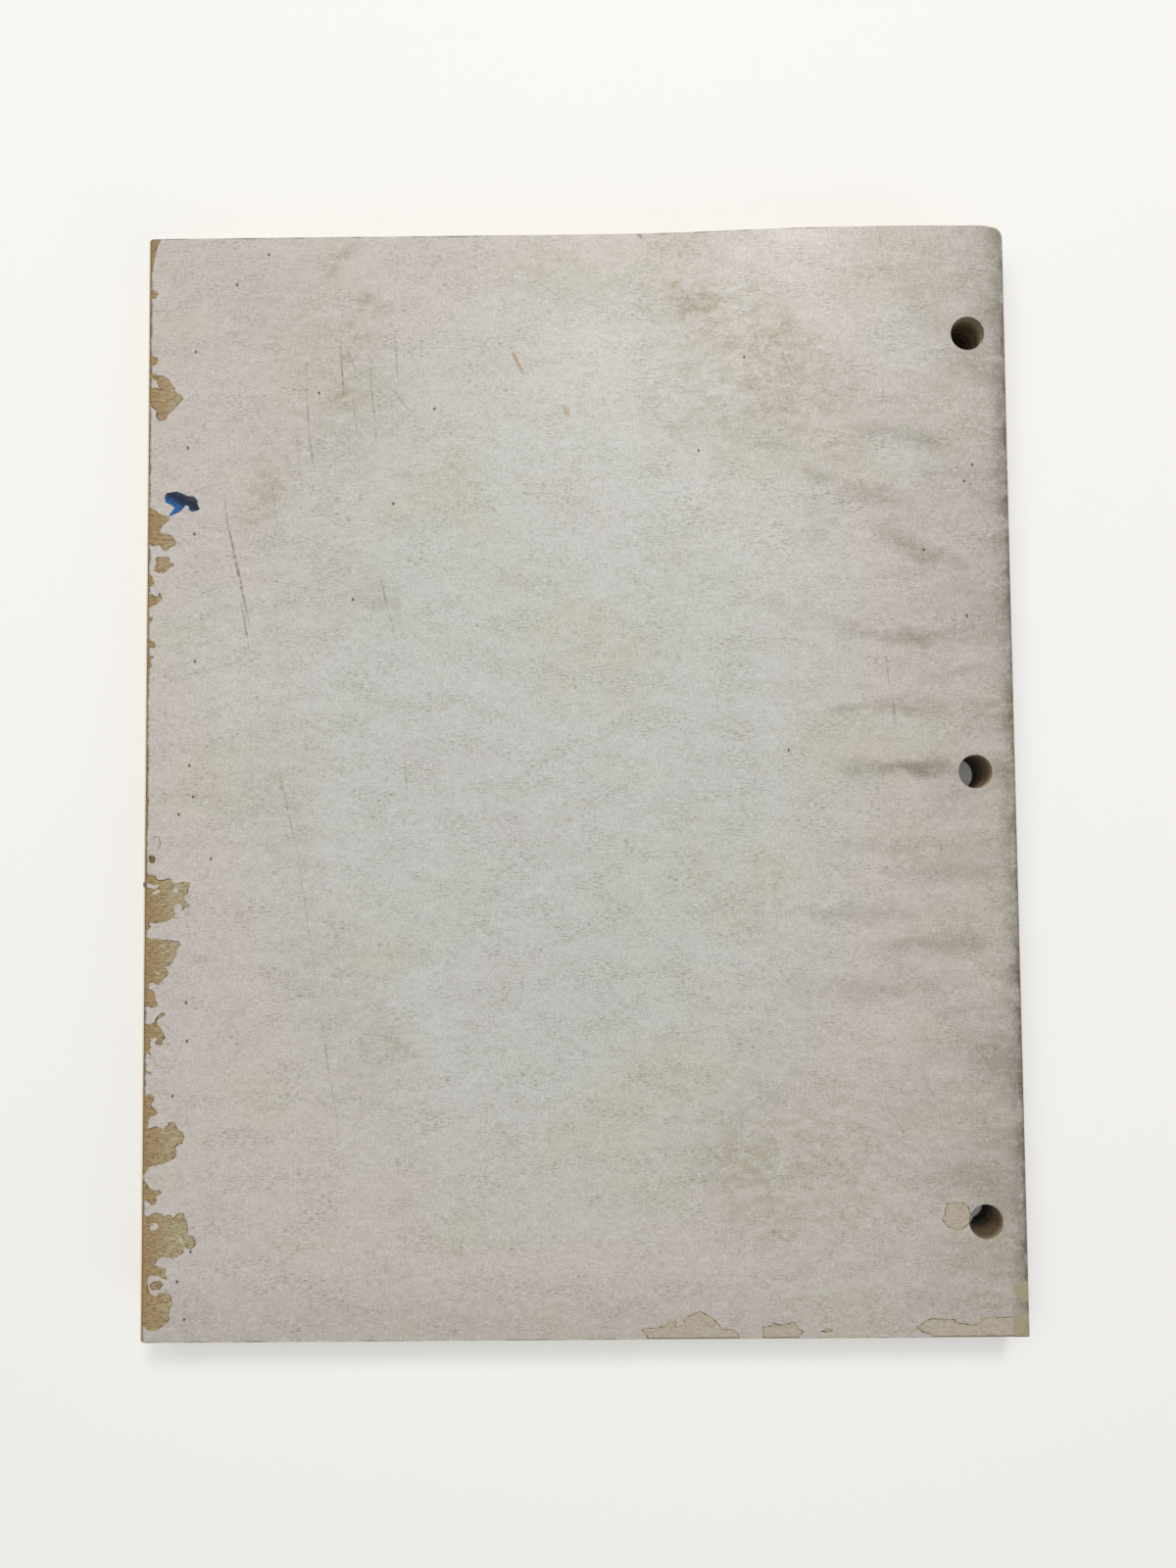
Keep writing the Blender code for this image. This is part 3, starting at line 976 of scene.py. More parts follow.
@dataclass(frozen=True)
class BookPaper(Finish):
    """Uncoated wood-free offset paper: matt cream and blank, yellowed from the edges in."""

    book: Book
    name: str = "uncoated_book_paper"

    def dress(self, coats: Coats) -> None:
        """Lay the paper's clouds, its yellowed edges, and the dirt round the holes, with painted shade
        deeper in them.

        Args:
            coats: The coats, still bare.
        """
        book = self.book
        x, y, z = coats.axes()
        fibre = coats.grain(0.9, 0.5)
        inside = coats.inset(book)
        coats.colour = "eee7d5"
        coats.lay("e9e1cb", Ramp(coats.grain(22, 18, 4.0), 0.3, 0.7))
        coats.lay("dcc79c", Ramp(inside, 14 * MM, 0.5 * MM, 0.32))
        coats.lay("c7a973", Ramp(inside, 1.2 * MM, 0.0, 0.15))
        # Leaves differ a little in tone, which bands the edges of the block.
        band = coats.add("Mapping", {"Vector": coats.place, "Scale": (20.0, 20.0, 1 / (0.5 * MM))})
        band = coats.add("TexNoise", {"Vector": band, "Scale": 1.0, "Detail": 3.0})
        coats.lay("b9a47b", Ramp(band, 0.48, 0.68, 0.34), Ramp(inside, 2.5 * MM, 1.2 * MM))
        coats.lay("b3a27c", Ramp(fibre, 0.55, 0.80, 0.18))
        # The rings have rubbed dirt into the paper round the holes; deeper in the holes it turns to painted
        # shade, darker with depth and nearly black low down.
        flat = coats.add("CombineXYZ", {0: x, 1: y})
        near: Any = 1.0
        for hole in book.hole_centres():
            distance = coats.add("VectorMath", {"operation": "DISTANCE", 0: flat, 1: (*hole, 0.0)}, 1)
            near = coats.add("Math", {"operation": "MINIMUM", 0: distance, 1: near})
        # Painted shade: the colour round the holes darkens with depth, nearly black deep in them.
        dirt = coats.over("a3906e", "6f5a40", Ramp(z, 16 * MM, 12 * MM))
        dirt = coats.over(dirt, "1f160e", Ramp(z, 12 * MM, 3 * MM))
        coats.lay(dirt, Ramp(near, HOLE_RADIUS + 0.7 * MM, HOLE_RADIUS + 0.2 * MM, 0.92))
        coats.feed(coats.shader, {"Roughness": 0.9})
        coats.relief(fibre, 0.02)


@dataclass(frozen=True)
class DrilledPaper(Finish):
    """The walls of the binder holes: paper cut by a hollow drill, layer on layer, brown with dirt, with
    painted light at the mouth and painted shade deeper down.
    """

    name: str = "drilled_paper_edges"

    def dress(self, coats: Coats) -> None:
        """Lay the cut layers, with painted light that makes the mouth of the hole paler and painted shade
        that makes its foot nearly black.

        Args:
            coats: The coats, still bare.
        """
        z = coats.axes()[2]
        layers = coats.add("Mapping", {"Vector": coats.place, "Scale": (40.0, 40.0, 1 / (0.35 * MM))})
        layers = coats.add("TexNoise", {"Vector": layers, "Scale": 1.0, "Detail": 4.0})
        coats.colour = "8f7450"
        coats.lay("4a3822", Ramp(layers, 0.38, 0.62))
        # Painted light and shade: paler near the mouth of the hole, as where the lamp reaches the wall, and
        # darker with depth, nearly black at its foot.
        coats.lay("b3a181", Ramp(z, 12 * MM, 16 * MM, 0.6))
        coats.lay("1c140d", Ramp(z, 12 * MM, 3 * MM, 0.9))
        coats.feed(coats.shader, {"Roughness": 0.95, "Specular IOR Level": 0.08})
        coats.relief(layers, 0.08)


@dataclass(frozen=True)
class HotMeltGlue(Finish):
    """Aged hot-melt binding glue: amber, waxy and half clear, rippled where the roller laid it."""

    name: str = "amber_hot_melt_glue"

    def dress(self, coats: Coats) -> None:
        """Lay the glue's amber and its ripples.

        Args:
            coats: The coats, still bare.
        """
        ripple = coats.grain(1.0, 3.5)
        coats.colour = "c9a566"
        coats.lay("a8803f", Ramp(ripple, 0.35, 0.65))
        coats.feed(coats.shader, {
            "Roughness": 0.34, "IOR": 1.48, "Subsurface Weight": 0.15,
            "Subsurface Radius": (0.8 * MM, 0.5 * MM, 0.2 * MM),
        })
        coats.relief(ripple, 0.1)


@dataclass(frozen=True)
class BluePrint(Finish):
    """A chip of blue ink film: half gloss, bright at one end and nearly black in the middle."""

    book: Book
    name: str = "blue_ink_film"

    def dress(self, coats: Coats) -> None:
        """Lay the blue from its bright side to its dark one, with a dirty rim and bright specks.

        Args:
            coats: The coats, still bare.
        """
        book = self.book
        low, high = Vector(book.from_fore((6.2, 69.0))), Vector(book.from_fore((8.6, 64.6)))
        run = high - low
        ramp = coats.add("Mapping", {
            "vector_type": "TEXTURE", "Vector": coats.place, "Location": (low.x, low.y, book.top),
            "Rotation": (0.0, 0.0, math.atan2(run.y, run.x)), "Scale": (run.length, run.length, 1.0),
        })
        ramp = coats.add("TexGradient", {"gradient_type": "LINEAR", "Vector": ramp}, 1)
        blotch = coats.grain(1.1, 0.8, 4.0)
        level = coats.add("Math", {"operation": "MULTIPLY_ADD", 0: blotch, 1: 0.5, 2: ramp})
        coats.colour = "125694"
        coats.lay("111e33", Ramp(level, 0.50, 0.95))
        coats.lay("4a4542", Ramp(level, 1.05, 1.35, 0.85))
        coats.lay("1f6fc0", Ramp(blotch, 0.62, 0.75, 0.6))
        coats.feed(coats.shader, {"Roughness": 0.4, "IOR": 1.52})
        coats.relief(blotch, 0.06)


@dataclass(frozen=True)
class MattFloor(Finish):
    """Plain matt white paper sweep under the book."""

    name: str = "matt_white_sweep"

    def dress(self, coats: Coats) -> None:
        """Lay the sweep's two whites.

        Args:
            coats: The coats, still bare.
        """
        coats.colour = "f2f1ee"
        coats.lay("f5f4f2", coats.grain(300, 300, 1.0))
        coats.feed(coats.shader, {"Roughness": 0.9})


# ---------------------------------------------------------------------------------------------------
# Mesh work
# ---------------------------------------------------------------------------------------------------


def slab(low: Sequence[float], high: Sequence[float]) -> BMesh:
    """A block between two corners.

    Args:
        low: Lowest corner.
        high: Highest corner.

    Returns:
        The block as an editable mesh.
    """
    low, high = Vector(low), Vector(high)
    mesh = bmesh.new()
    bmesh.ops.create_cube(mesh, size=1.0)
    bmesh.ops.scale(mesh, vec=high - low, verts=mesh.verts)
    bmesh.ops.translate(mesh, vec=(low + high) / 2.0, verts=mesh.verts)
    return mesh


def slice_mesh(mesh: BMesh, across: Iterable[float], along: Iterable[float]) -> None:
    """Cut a mesh's faces at places across (X) and along (Y) it.

    Args:
        mesh: The mesh, changed in place.
        across: X of each slice.
        along: Y of each slice.
    """
    for normal, places in ((Vector((1, 0, 0)), across), (Vector((0, 1, 0)), along)):
        for place in places:
            geometry = mesh.verts[:] + mesh.edges[:] + mesh.faces[:]
            bmesh.ops.bisect_plane(
                mesh, geom=geometry, dist=ON_CUT, plane_co=normal * place, plane_no=normal
            )


def steps(low: float, high: float, pitch: float) -> list[float]:
    """Places between two ends, evenly spaced at about a pitch, without the ends."""
    count = max(1, round((high - low) / pitch))
    return [low + (high - low) * i / count for i in range(1, count)]


def round_corners(mesh: BMesh, chosen: Callable[[Vector], bool], radius: float) -> None:
    """Round the upright edges of a block.

    Args:
        mesh: The mesh, changed in place.
        chosen: Tells from an edge's middle whether it is rounded.
        radius: Radius of the rounding.
    """
    upright = []
    for edge in mesh.edges:
        start, end = (vertex.co for vertex in edge.verts)
        if (start - end).xy.length < 1e-6 and chosen((start + end) / 2.0):
            upright.append(edge)
    bmesh.ops.bevel(
        mesh, geom=upright, offset=radius, segments=5, profile=0.5, affect="EDGES", material=-1
    )


def torn_face(outline: Outline, height: float, rough: float, seed: int) -> BMesh:
    """A flat face with a torn outline.

    Args:
        outline: The outline's corners in metres.
        height: Height of the face.
        rough: How far the outline strays from straight lines between its corners, in metres.
        seed: Which stray it takes.

    Returns:
        The face as an editable mesh.
    """
    mesh = bmesh.new()
    corners = [mesh.verts.new((x, y, height)) for x, y in outline]
    for start, end in zip(corners, corners[1:] + corners[:1]):
        mesh.edges.new((start, end))
    while True:
        long_edges = [edge for edge in mesh.edges if edge.calc_length() > TORN_STEP]
        if not long_edges or rough == 0.0:
            break
        bmesh.ops.subdivide_edges(mesh, edges=long_edges, cuts=1)
    for vertex in mesh.verts:
        spot = Vector((vertex.co.x, vertex.co.y, seed * 0.01)) / TORN_GRAIN
        coarse = noise.noise_vector(spot * 0.35)
        fine = noise.noise_vector(spot)
        vertex.co.x += (coarse.x + 0.8 * fine.x) * rough
        vertex.co.y += (coarse.y + 0.8 * fine.y) * rough
    bmesh.ops.edgeloop_fill(mesh, edges=mesh.edges[:])
    return mesh


def thicken(mesh: BMesh, height: float) -> None:
    """Raise a copy of flat faces and close the sides between.

    Args:
        mesh: The mesh, changed in place.
        height: How far the copy is raised.
    """
    raised = bmesh.ops.extrude_face_region(mesh, geom=mesh.faces[:])["geom"]
    tops = [part for part in raised if isinstance(part, BMVert)]
    bmesh.ops.translate(mesh, vec=(0, 0, height), verts=tops)
    bmesh.ops.recalc_face_normals(mesh, faces=mesh.faces[:])


def prism(outline: Outline, low: float, high: float, rough: float, seed: int) -> BMesh:
    """An upright piece with a torn outline.

    Args:
        outline: The outline's corners in metres.
        low: Height of its underside.
        high: Height of its top.
        rough: How far the outline strays from straight lines between its corners, in metres.
        seed: Which stray it takes.

    Returns:
        The closed piece as an editable mesh.
    """
    mesh = torn_face(outline, low, rough, seed)
    thicken(mesh, high - low)
    return mesh


def to_data(name: str, mesh: BMesh) -> Mesh:
    """Mesh data of an editable mesh, which is used up.

    Args:
        name: The data's name.
        mesh: The editable mesh.

    Returns:
        The data.
    """
    data = bpy.data.meshes.new(name)
    mesh.to_mesh(data)
    mesh.free()
    return data


def gather(whole: BMesh, part: BMesh) -> None:
    """Add one editable mesh to another.

    Args:
        whole: The mesh that grows.
        part: The mesh that is used up.
    """
    data = to_data("part", part)
    whole.from_mesh(data)
    bpy.data.meshes.remove(data)


def groove(path: Outline, width: float) -> Outline:
    """Outline of a thin tapering cut along a path.

    Args:
        path: The path's points in metres.
        width: Its greatest width.

    Returns:
        The outline, round the path.
    """
    points = [Vector(p) for p in path]
    left, right = [], []
    for i, point in enumerate(points):
        ahead = points[min(i + 1, len(points) - 1)] - points[max(i - 1, 0)]
        side = Vector((-ahead.y, ahead.x)).normalized() * width / 2.0
        taper = 0.25 if i in (0, len(points) - 1) else 1.0
        left.append(tuple(point + side * taper))
        right.append(tuple(point - side * taper))
    return left + right[::-1]


def to_object(name: str, mesh: BMesh, materials: Sequence[Material]) -> Object:
    """Make an object of an editable mesh.

    Args:
        name: The piece's name.
        mesh: The mesh, used up.
        materials: Its materials, by slot.

    Returns:
        The new object, at the origin.
    """
    data = to_data(name, mesh)
    for material in materials:
        data.materials.append(material)
    piece = bpy.data.objects.new(name, data)
    bpy.context.scene.collection.objects.link(piece)
    return piece


def cut_away(piece: Object, cutters: Sequence[BMesh]) -> None:
    """Cut shapes out of a piece and drop them.

    Args:
        piece: The piece, whose mesh is replaced.
        cutters: The shapes, used up.
    """
    collection = bpy.data.collections.new("cutters")
    bpy.context.scene.collection.children.link(collection)
    tools = []
    for index, cutter in enumerate(cutters):
        tool = bpy.data.objects.new(f"cutter_{index}", to_data(f"cutter_{index}", cutter))
        collection.objects.link(tool)
        tools.append(tool)
    boolean = piece.modifiers.new("cut", "BOOLEAN")
    boolean.operation = "DIFFERENCE"
    boolean.solver = "EXACT"
    boolean.operand_type = "COLLECTION"
    boolean.collection = collection
    bpy.context.view_layer.update()
    graph = bpy.context.evaluated_depsgraph_get()
    result = bpy.data.meshes.new_from_object(piece.evaluated_get(graph))
    piece.modifiers.clear()
    used, piece.data = piece.data, result
    bpy.data.meshes.remove(used)
    for tool in tools:
        bpy.data.objects.remove(tool, do_unlink=True)
    bpy.data.collections.remove(collection)
    result.name = piece.name


def smooth_shading(piece: Object, degrees: float = 30.0) -> None:
    """Shade a piece smooth, with edges over an angle left sharp."""
    piece.data.shade_smooth()
    piece.data.set_sharp_from_angle(angle=math.radians(degrees))


# ---------------------------------------------------------------------------------------------------
# The book's sub-assemblies
# ---------------------------------------------------------------------------------------------------


@dataclass
class CoverPanel:
    """One flat panel of the cover: a core with a lining inside, and outside a coat, worn off in places.

    Args:
        book: Sizes of the book.
        side: Front or back.
        coat_finish: Material of the coat.
        core_finish: Material of the bare board.
        lining_finish: Material of the inner side.
        rim_finish: Material of the flakes' frayed borders.
        flakes: Outlines where the coat is gone, in metres.
        scraps: Outlines of coat left inside them, in metres.
        tears: Paths of thin tears in the coat, in metres.
        pieces: The panel's pieces, once it is built.
    """

    book: Book
    side: Side
    coat_finish: Material
    core_finish: Material
    lining_finish: Material
    rim_finish: Material
    flakes: Sequence[Outline] = ()
    scraps: Sequence[Outline] = ()
    tears: Sequence[Outline] = ()
    pieces: list[Object] = field(default_factory=list)

    @property
    def outer(self) -> float:
        """Height of the outer face."""
        return self.book.top if self.side is Side.BACK else 0.0

    @property
    def outward(self) -> float:
        """+1 where the outer face looks up and -1 where it looks down."""
        return 1.0 if self.side is Side.BACK else -1.0

    @property
    def body(self) -> str:
        """Name of the body it rides on."""
        return f"{self.side.value}_cover"

    def drills(self, radius: float) -> list[BMesh]:
        """Cutters for the three binder holes.

        Args:
            radius: Radius of the holes.

        Returns:
            Three cylinders.
        """
        made = []
        for x, y in self.book.hole_centres():
            drill = bmesh.new()
            bmesh.ops.create_cone(
                drill, cap_ends=True, segments=HOLE_SIDES, radius1=radius, radius2=radius,
                depth=DRILL_LENGTH, matrix=Matrix.Translation((x, y, self.outer)),
            )
            made.append(drill)
        return made

    def cutter(self, outline: Outline, rough: float, seed: int) -> BMesh:
        """Cutter with a torn outline, through the coat's whole thickness.

        Args:
            outline: The outline's corners in metres.
            rough: How far the outline strays from straight lines between its corners, in metres.
            seed: Which stray it takes.

        Returns:
            The cutter.
        """
        return prism(outline, self.outer - PAST, self.outer + PAST, rough, seed)

    def sheet(
        self, name: str, depth: float, thickness: float, materials: Sequence[Material]
    ) -> Object:
        """One ply of the panel, before its holes.

        Args:
            name: The piece's name.
            depth: How far its outer face lies under the panel's outer face.
            thickness: Its thickness.
            materials: Its materials.

        Returns:
            The new object.
        """
        book = self.book
        near, far = (self.outer - self.outward * d for d in (depth, depth + thickness))
        end = book.spine - FOLD_REACH
        across = [x for x in book.bends_across() if x < end - 0.1 * MM]
        across += steps(book.fore, LIFT_START, PANEL_GRID)
        along = book.bends_along() + steps(-book.head, book.head - LIFT_LENGTH, PANEL_GRID)
        along += [book.head - KNOCKED_REACH * i / 4.0 for i in range(1, 4)]
        mesh = slab((book.fore, -book.head, min(near, far)), (end, book.head, max(near, far)))
        round_corners(mesh, lambda spot: spot.x < 0.0, WORN_CORNER)
        slice_mesh(mesh, across, along)
        return to_object(name, mesh, materials)

    def worn_edge(self, seed: int) -> list[BMesh]:
        """Cutters that nibble the coat all along the fore edge.

        Args:
            seed: Which wear it takes.

        Returns:
            The cutters.
        """
        book = self.book
        points = [(book.fore - PAST, -book.head - PAST)]
        for y in [-book.head - PAST, *steps(-book.head, book.head, 0.6 * MM), book.head + PAST]:
            broad = noise.noise(Vector((seed, 0.0, y / (3.0 * MM))))
            fine = noise.noise(Vector((seed, 5.0, y / MM)))
            wear = 0.16 + 0.26 * broad + 0.14 * fine
            points.append((book.fore + max(0.03, wear) * MM, y))
        points.append((book.fore - PAST, book.head + PAST))
        return [self.cutter(points, 0.0, seed)]

    def rim_chips(self, seed: int) -> list[BMesh]:
        """Cutters for small chips in the coat round the holes.

        Args:
            seed: Which chips it takes.

        Returns:
            The cutters.
        """
        pick = random.Random(seed)
        made = []
        for x, y in self.book.hole_centres():
            for _ in range(CHIPS_AT_HOLE):
                angle = pick.uniform(-1.9, 1.9)
                size = pick.uniform(0.25, 0.75) * MM
                reach = HOLE_RADIUS + size * 0.25
                centre = Vector((x + reach * math.cos(angle), y + reach * math.sin(angle)))
                corners = []
                for turn in (math.tau * i / 7 for i in range(7)):
                    ray = Vector((math.cos(turn), math.sin(turn)))
                    corners.append(tuple(centre + ray * size * pick.uniform(0.6, 1.1)))
                made.append(self.cutter(corners, SCRAP_ROUGHNESS, seed))
        return made

    def build(self, seed: int) -> None:
        """Make the core, the coat and its scraps, and hang them on the cover's body.

        Args:
            seed: Which wear the panel takes.
        """
        book, name = self.book, self.side.value
        plies = [self.core_finish, self.lining_finish]
        core = self.sheet(f"{name}_board", COAT, book.card - COAT, plies)
        cut_away(core, self.drills(HOLE_RADIUS))
        for face in core.data.polygons:
            face.material_index = 1 if face.normal.z * self.outward < -0.5 else 0
        plies = [self.coat_finish, self.core_finish]
        coat = self.sheet(f"{name}_coat", 0.0, COAT + COAT_OVERLAP, plies)
        cutters = []
        for index, outline in enumerate(self.flakes):
            cutters.append(self.cutter(outline, FLAKE_ROUGHNESS, index + seed))
        for index, path in enumerate(self.tears):
            cutters.append(self.cutter(groove(path, TEAR_WIDTH), TEAR_ROUGHNESS, index))
        cutters += self.worn_edge(seed) + self.rim_chips(seed)
        cutters += self.drills(HOLE_RADIUS + 0.05 * MM)
        cut_away(coat, cutters)
        for face in coat.data.polygons:
            face.material_index = 0 if face.normal.z * self.outward > 0.5 else 1
        self.pieces += [core, coat]
        if self.scraps:
            self.pieces.append(self.coat_scraps(seed))
        if self.flakes:
            self.pieces.append(self.torn_rims(seed))
        for piece in self.pieces:
            self.lift(piece)
            smooth_shading(piece)
            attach(piece, self.body)
        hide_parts(self.body)

    def coat_scraps(self, seed: int) -> Object:
        """Scraps of coat inside the flakes, one edge of each a little raised.

        Args:
            seed: Which scraps are raised.

        Returns:
            The new object.
        """
        pick = random.Random(seed)
        whole = bmesh.new()
        for index, outline in enumerate(self.scraps):
            low, high = sorted((self.outer, self.outer - self.outward * (COAT + COAT_OVERLAP)))
            scrap = prism(outline, low, high, SCRAP_ROUGHNESS, index)
            middle = Vector((sum(p[0] for p in outline), sum(p[1] for p in outline), 0.0))
            middle /= len(outline)
            middle.z = self.outer
            tilt = Matrix.Rotation(math.radians(pick.uniform(2.0, 7.0)), 4, Vector((0.3, 1.0, 0.0)))
            about = Matrix.Translation(-middle)
            bmesh.ops.transform(scrap, matrix=tilt, space=about, verts=scrap.verts[:])
            gather(whole, scrap)
        return to_object(f"{self.side.value}_coat_scraps", whole, [self.coat_finish])

    def torn_rims(self, seed: int) -> Object:
        """Frayed borders of the flakes, a little under the coat's face.

        Args:
            seed: The panel's wear.

        Returns:
            The new object.
        """
        book = self.book
        whole = bmesh.new()
        sides = (
            ((book.fore, 0, 0), (-1, 0, 0)), ((0, -book.head, 0), (0, -1, 0)), ((0, book.head, 0), (0, 1, 0))
        )
        for index, outline in enumerate(self.flakes):
            rim = torn_face(outline, self.outer - self.outward * COAT, FLAKE_ROUGHNESS, index + seed)
            inner = rim.faces[:]
            bmesh.ops.inset_region(
                rim, faces=inner, thickness=RIM_WIDTH, use_even_offset=False, use_boundary=True
            )
            bmesh.ops.delete(rim, geom=inner, context="FACES_ONLY")
            for edge, out in sides:
                geometry = rim.verts[:] + rim.edges[:] + rim.faces[:]
                bmesh.ops.bisect_plane(
                    rim, geom=geometry, dist=ON_CUT, plane_co=edge, plane_no=out, clear_outer=True
                )
            loose = [edge for edge in rim.edges if not edge.link_faces]
            bmesh.ops.delete(rim, geom=loose, context="EDGES")
            thicken(rim, self.outward * COAT * 0.55)
            gather(whole, rim)
        return to_object(f"{self.side.value}_torn_rims", whole, [self.rim_finish])

    def lift(self, piece: Object) -> None:
        """Raise the back cover off the leaves beside the spine at the head.

        Args:
            piece: The piece whose mesh is raised.
        """
        if self.side is Side.BACK:
            for vertex in piece.data.vertices:
                x, y = vertex.co.xy
                vertex.co.z += self.book.lift_at(x, y)
                vertex.co.y -= self.book.knocked_at(x, y)


@dataclass
class BlueChip:
    """A chip of blue ink film that stuck to the back cover."""

    book: Book
    finish: Material

    def build(self) -> Object:
        """Make the chip and hang it on the back cover.

        Returns:
            The new object.
        """
        book = self.book
        outline = [book.from_fore(p) for p in BLUE_CHIP]
        mesh = prism(outline, book.top - 0.03 * MM, book.top + 0.06 * MM, 0.06 * MM, 9)
        rim = [edge for edge in mesh.edges if all(v.co.z > book.top for v in edge.verts)]
        for vertex in {v for edge in rim for v in edge.verts}:
            vertex.co.z += 0.03 * MM * noise.noise(vertex.co / (0.8 * MM))
        chip = to_object("back_blue_chip", mesh, [self.finish])
        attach(chip, "back_cover")
        return chip


@dataclass
class BentSheet:
    """A sheet along the spine, swept from its path.

    Args:
        name: The piece's name.
        path: X and Z of its outer face from one end to the other, in metres.
        thickness: How far it goes in from its outer face.
        bodies: The two bodies, in the path's order; not used.
        start: Where it would stop following the first body; not used.
        end: Where it would start following the second; not used.
        materials: Outer face, and all the rest.
        slot: The record's material slot; not used.
        replaces: CAD nodes it stands for.
        lifts: Whether it lifts off the leaves and is knocked back at the head, as the back cover is.
    """

    name: str
    path: Sequence[Place]
    thickness: float
    bodies: tuple[str, str]
    start: Place
    end: Place
    materials: Sequence[Material]
    slot: str
    replaces: Sequence[str] = ()
    lifts: bool = False

    def build(self, book: Book) -> Object:
        """Make the sheet.

        Args:
            book: Sizes of the book.

        Returns:
            The new object.
        """
        mesh = bmesh.new()
        corners = [mesh.verts.new((x, -book.head, z)) for x, z in self.path]
        for start, end in zip(corners, corners[1:]):
            mesh.edges.new((start, end))
        swept = bmesh.ops.extrude_edge_only(mesh, edges=mesh.edges[:])["geom"]
        ends = [g for g in swept if isinstance(g, BMVert)]
        bmesh.ops.translate(mesh, vec=(0.0, 2.0 * book.head, 0.0), verts=ends)
        if self.lifts:
            knocked = [book.head - KNOCKED_REACH * i / 8.0 for i in range(1, 8)]
            slice_mesh(mesh, [], book.bends_along() + knocked)
        outward = Vector((1.0, 0.0, 0.0))
        if sum(face.normal.dot(outward) * face.calc_area() for face in mesh.faces) < 0.0:
            bmesh.ops.reverse_faces(mesh, faces=mesh.faces[:])
        outer = set(mesh.faces[:])
        bmesh.ops.solidify(mesh, geom=mesh.faces[:], thickness=self.thickness)
        for face in mesh.faces:
            face.material_index = 0 if face in outer else 1
        bmesh.ops.recalc_face_normals(mesh, faces=mesh.faces[:])
        if self.lifts:
            for vertex in mesh.verts:
                x, y, z = vertex.co
                on_top = 1.0 - min(max((book.top - z) / KNOCKED_DEPTH, 0.0), 1.0)
                vertex.co.z += book.lift_at(x, y)
                vertex.co.y -= book.knocked_at(x, y) * on_top
        piece = to_object(self.name, mesh, self.materials)
        smooth_shading(piece, 40.0)
        start, end = ((x, 0.0, z) for x, z in (self.start, self.end))
        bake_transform(piece)
        if self.replaces:
            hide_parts(*self.replaces)
        return piece


@dataclass
class Spine:
    """The cover round the spine, and the glue film between it and the leaves.

    Args:
        book: Sizes of the book.
        coat_finish: Material of the coat on the folds.
        spine_finish: Material of the coat on the spine.
        core_finish: Material of the bare board.
        glue_finish: Material of the glue.
    """

    book: Book
    coat_finish: Material
    spine_finish: Material
    core_finish: Material
    glue_finish: Material

    def corner(self, side: Side) -> list[Place]:
        """Path of the outer face from a cover's panel round the corner and onto the spine.

        Args:
            side: Which cover.

        Returns:
            X and Z of the path's points, from the panel to the middle of the next pack.
        """
        book = self.book
        up, outer, pack = (1.0, book.top, book.packs) if side is Side.BACK else (-1.0, 0.0, 1)
        start, run = book.spine - FOLD_REACH, FOLD_REACH - FOLD_RADIUS
        path = [(start + run * i / 10.0, outer) for i in range(10)]
        for turn in (math.pi * i / 12.0 for i in range(7)):
            x = book.spine - FOLD_RADIUS * (1.0 - math.sin(turn))
            path.append((x, outer - up * FOLD_RADIUS * (1.0 - math.cos(turn))))
        return path + [(book.spine, book.pack_middle(pack))]

    def strip(self, x: float, low: float, high: float) -> list[Place]:
        """Path of an upright face at one X between two heights, in six steps."""
        return [(x, low + (high - low) * i / 6.0) for i in range(7)]

    def build(self) -> list[Object]:
        """Make the cover round the spine and the glue film, segment by segment.

        Returns:
            The new objects.
        """
        book = self.book
        made = [self.fold(side) for side in (Side.FRONT, Side.BACK)]
        glue_x = book.spine - book.card
        glue_depth = glue_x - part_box("leaf_pack_01")[1].x
        board, glue = (self.spine_finish, self.core_finish), (self.glue_finish, self.glue_finish)
        films = (
            ("spine_card", "spine_cover", book.spine, book.card, board, "cover_card"),
            ("glue_film", "spine_glue", glue_x, glue_depth, glue, "spine_glue"),
        )
        for number in range(1, book.packs):
            low, high = book.pack_middle(number), book.pack_middle(number + 1)
            bodies = (f"pack_{number:02d}", f"pack_{number + 1:02d}")
            ends = [(book.spine, low + (high - low) * share) for share in (BEND_FROM, BEND_TO)]
            numbers = [number, number + 1] if number == book.packs - 1 else [number]
            for name, node, x, depth, finishes, slot in films:
                made.append(BentSheet(
                    f"{name}_{number:02d}", self.strip(x, low, high), depth, bodies, *ends, finishes, slot,
                    [f"{node}_{n:02d}" for n in numbers],
                ).build(book))
        for number, low, high in (
            (1, book.card, book.pack_middle(1)),
            (book.packs, book.pack_middle(book.packs), book.top - book.card),
        ):
            end = slab((glue_x - glue_depth, -book.head, low), (glue_x, book.head, high))
            piece = to_object(f"glue_end_{number:02d}", end, [self.glue_finish])
            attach(piece, f"pack_{number:02d}")
            made.append(piece)
        return made

    def fold(self, side: Side) -> Object:
        """The card's fold between a cover's panel and the spine.

        Args:
            side: Which cover.

        Returns:
            The new object.
        """
        book = self.book
        back = side is Side.BACK
        pack, outer, inner = (book.packs, book.top, book.top - book.card) if back else (1, 0.0, book.card)
        start = (book.spine - FOLD_GIVES, outer)
        end = (book.spine, inner + (inner - outer) * FOLD_HOLDS)
        bodies = (f"{side.value}_cover", f"pack_{pack:02d}")
        finishes = (self.coat_finish, self.core_finish)
        return BentSheet(
            f"{side.value}_fold", self.corner(side), book.card, bodies, start, end, finishes, "cover_card",
            lifts=back,
        ).build(book)


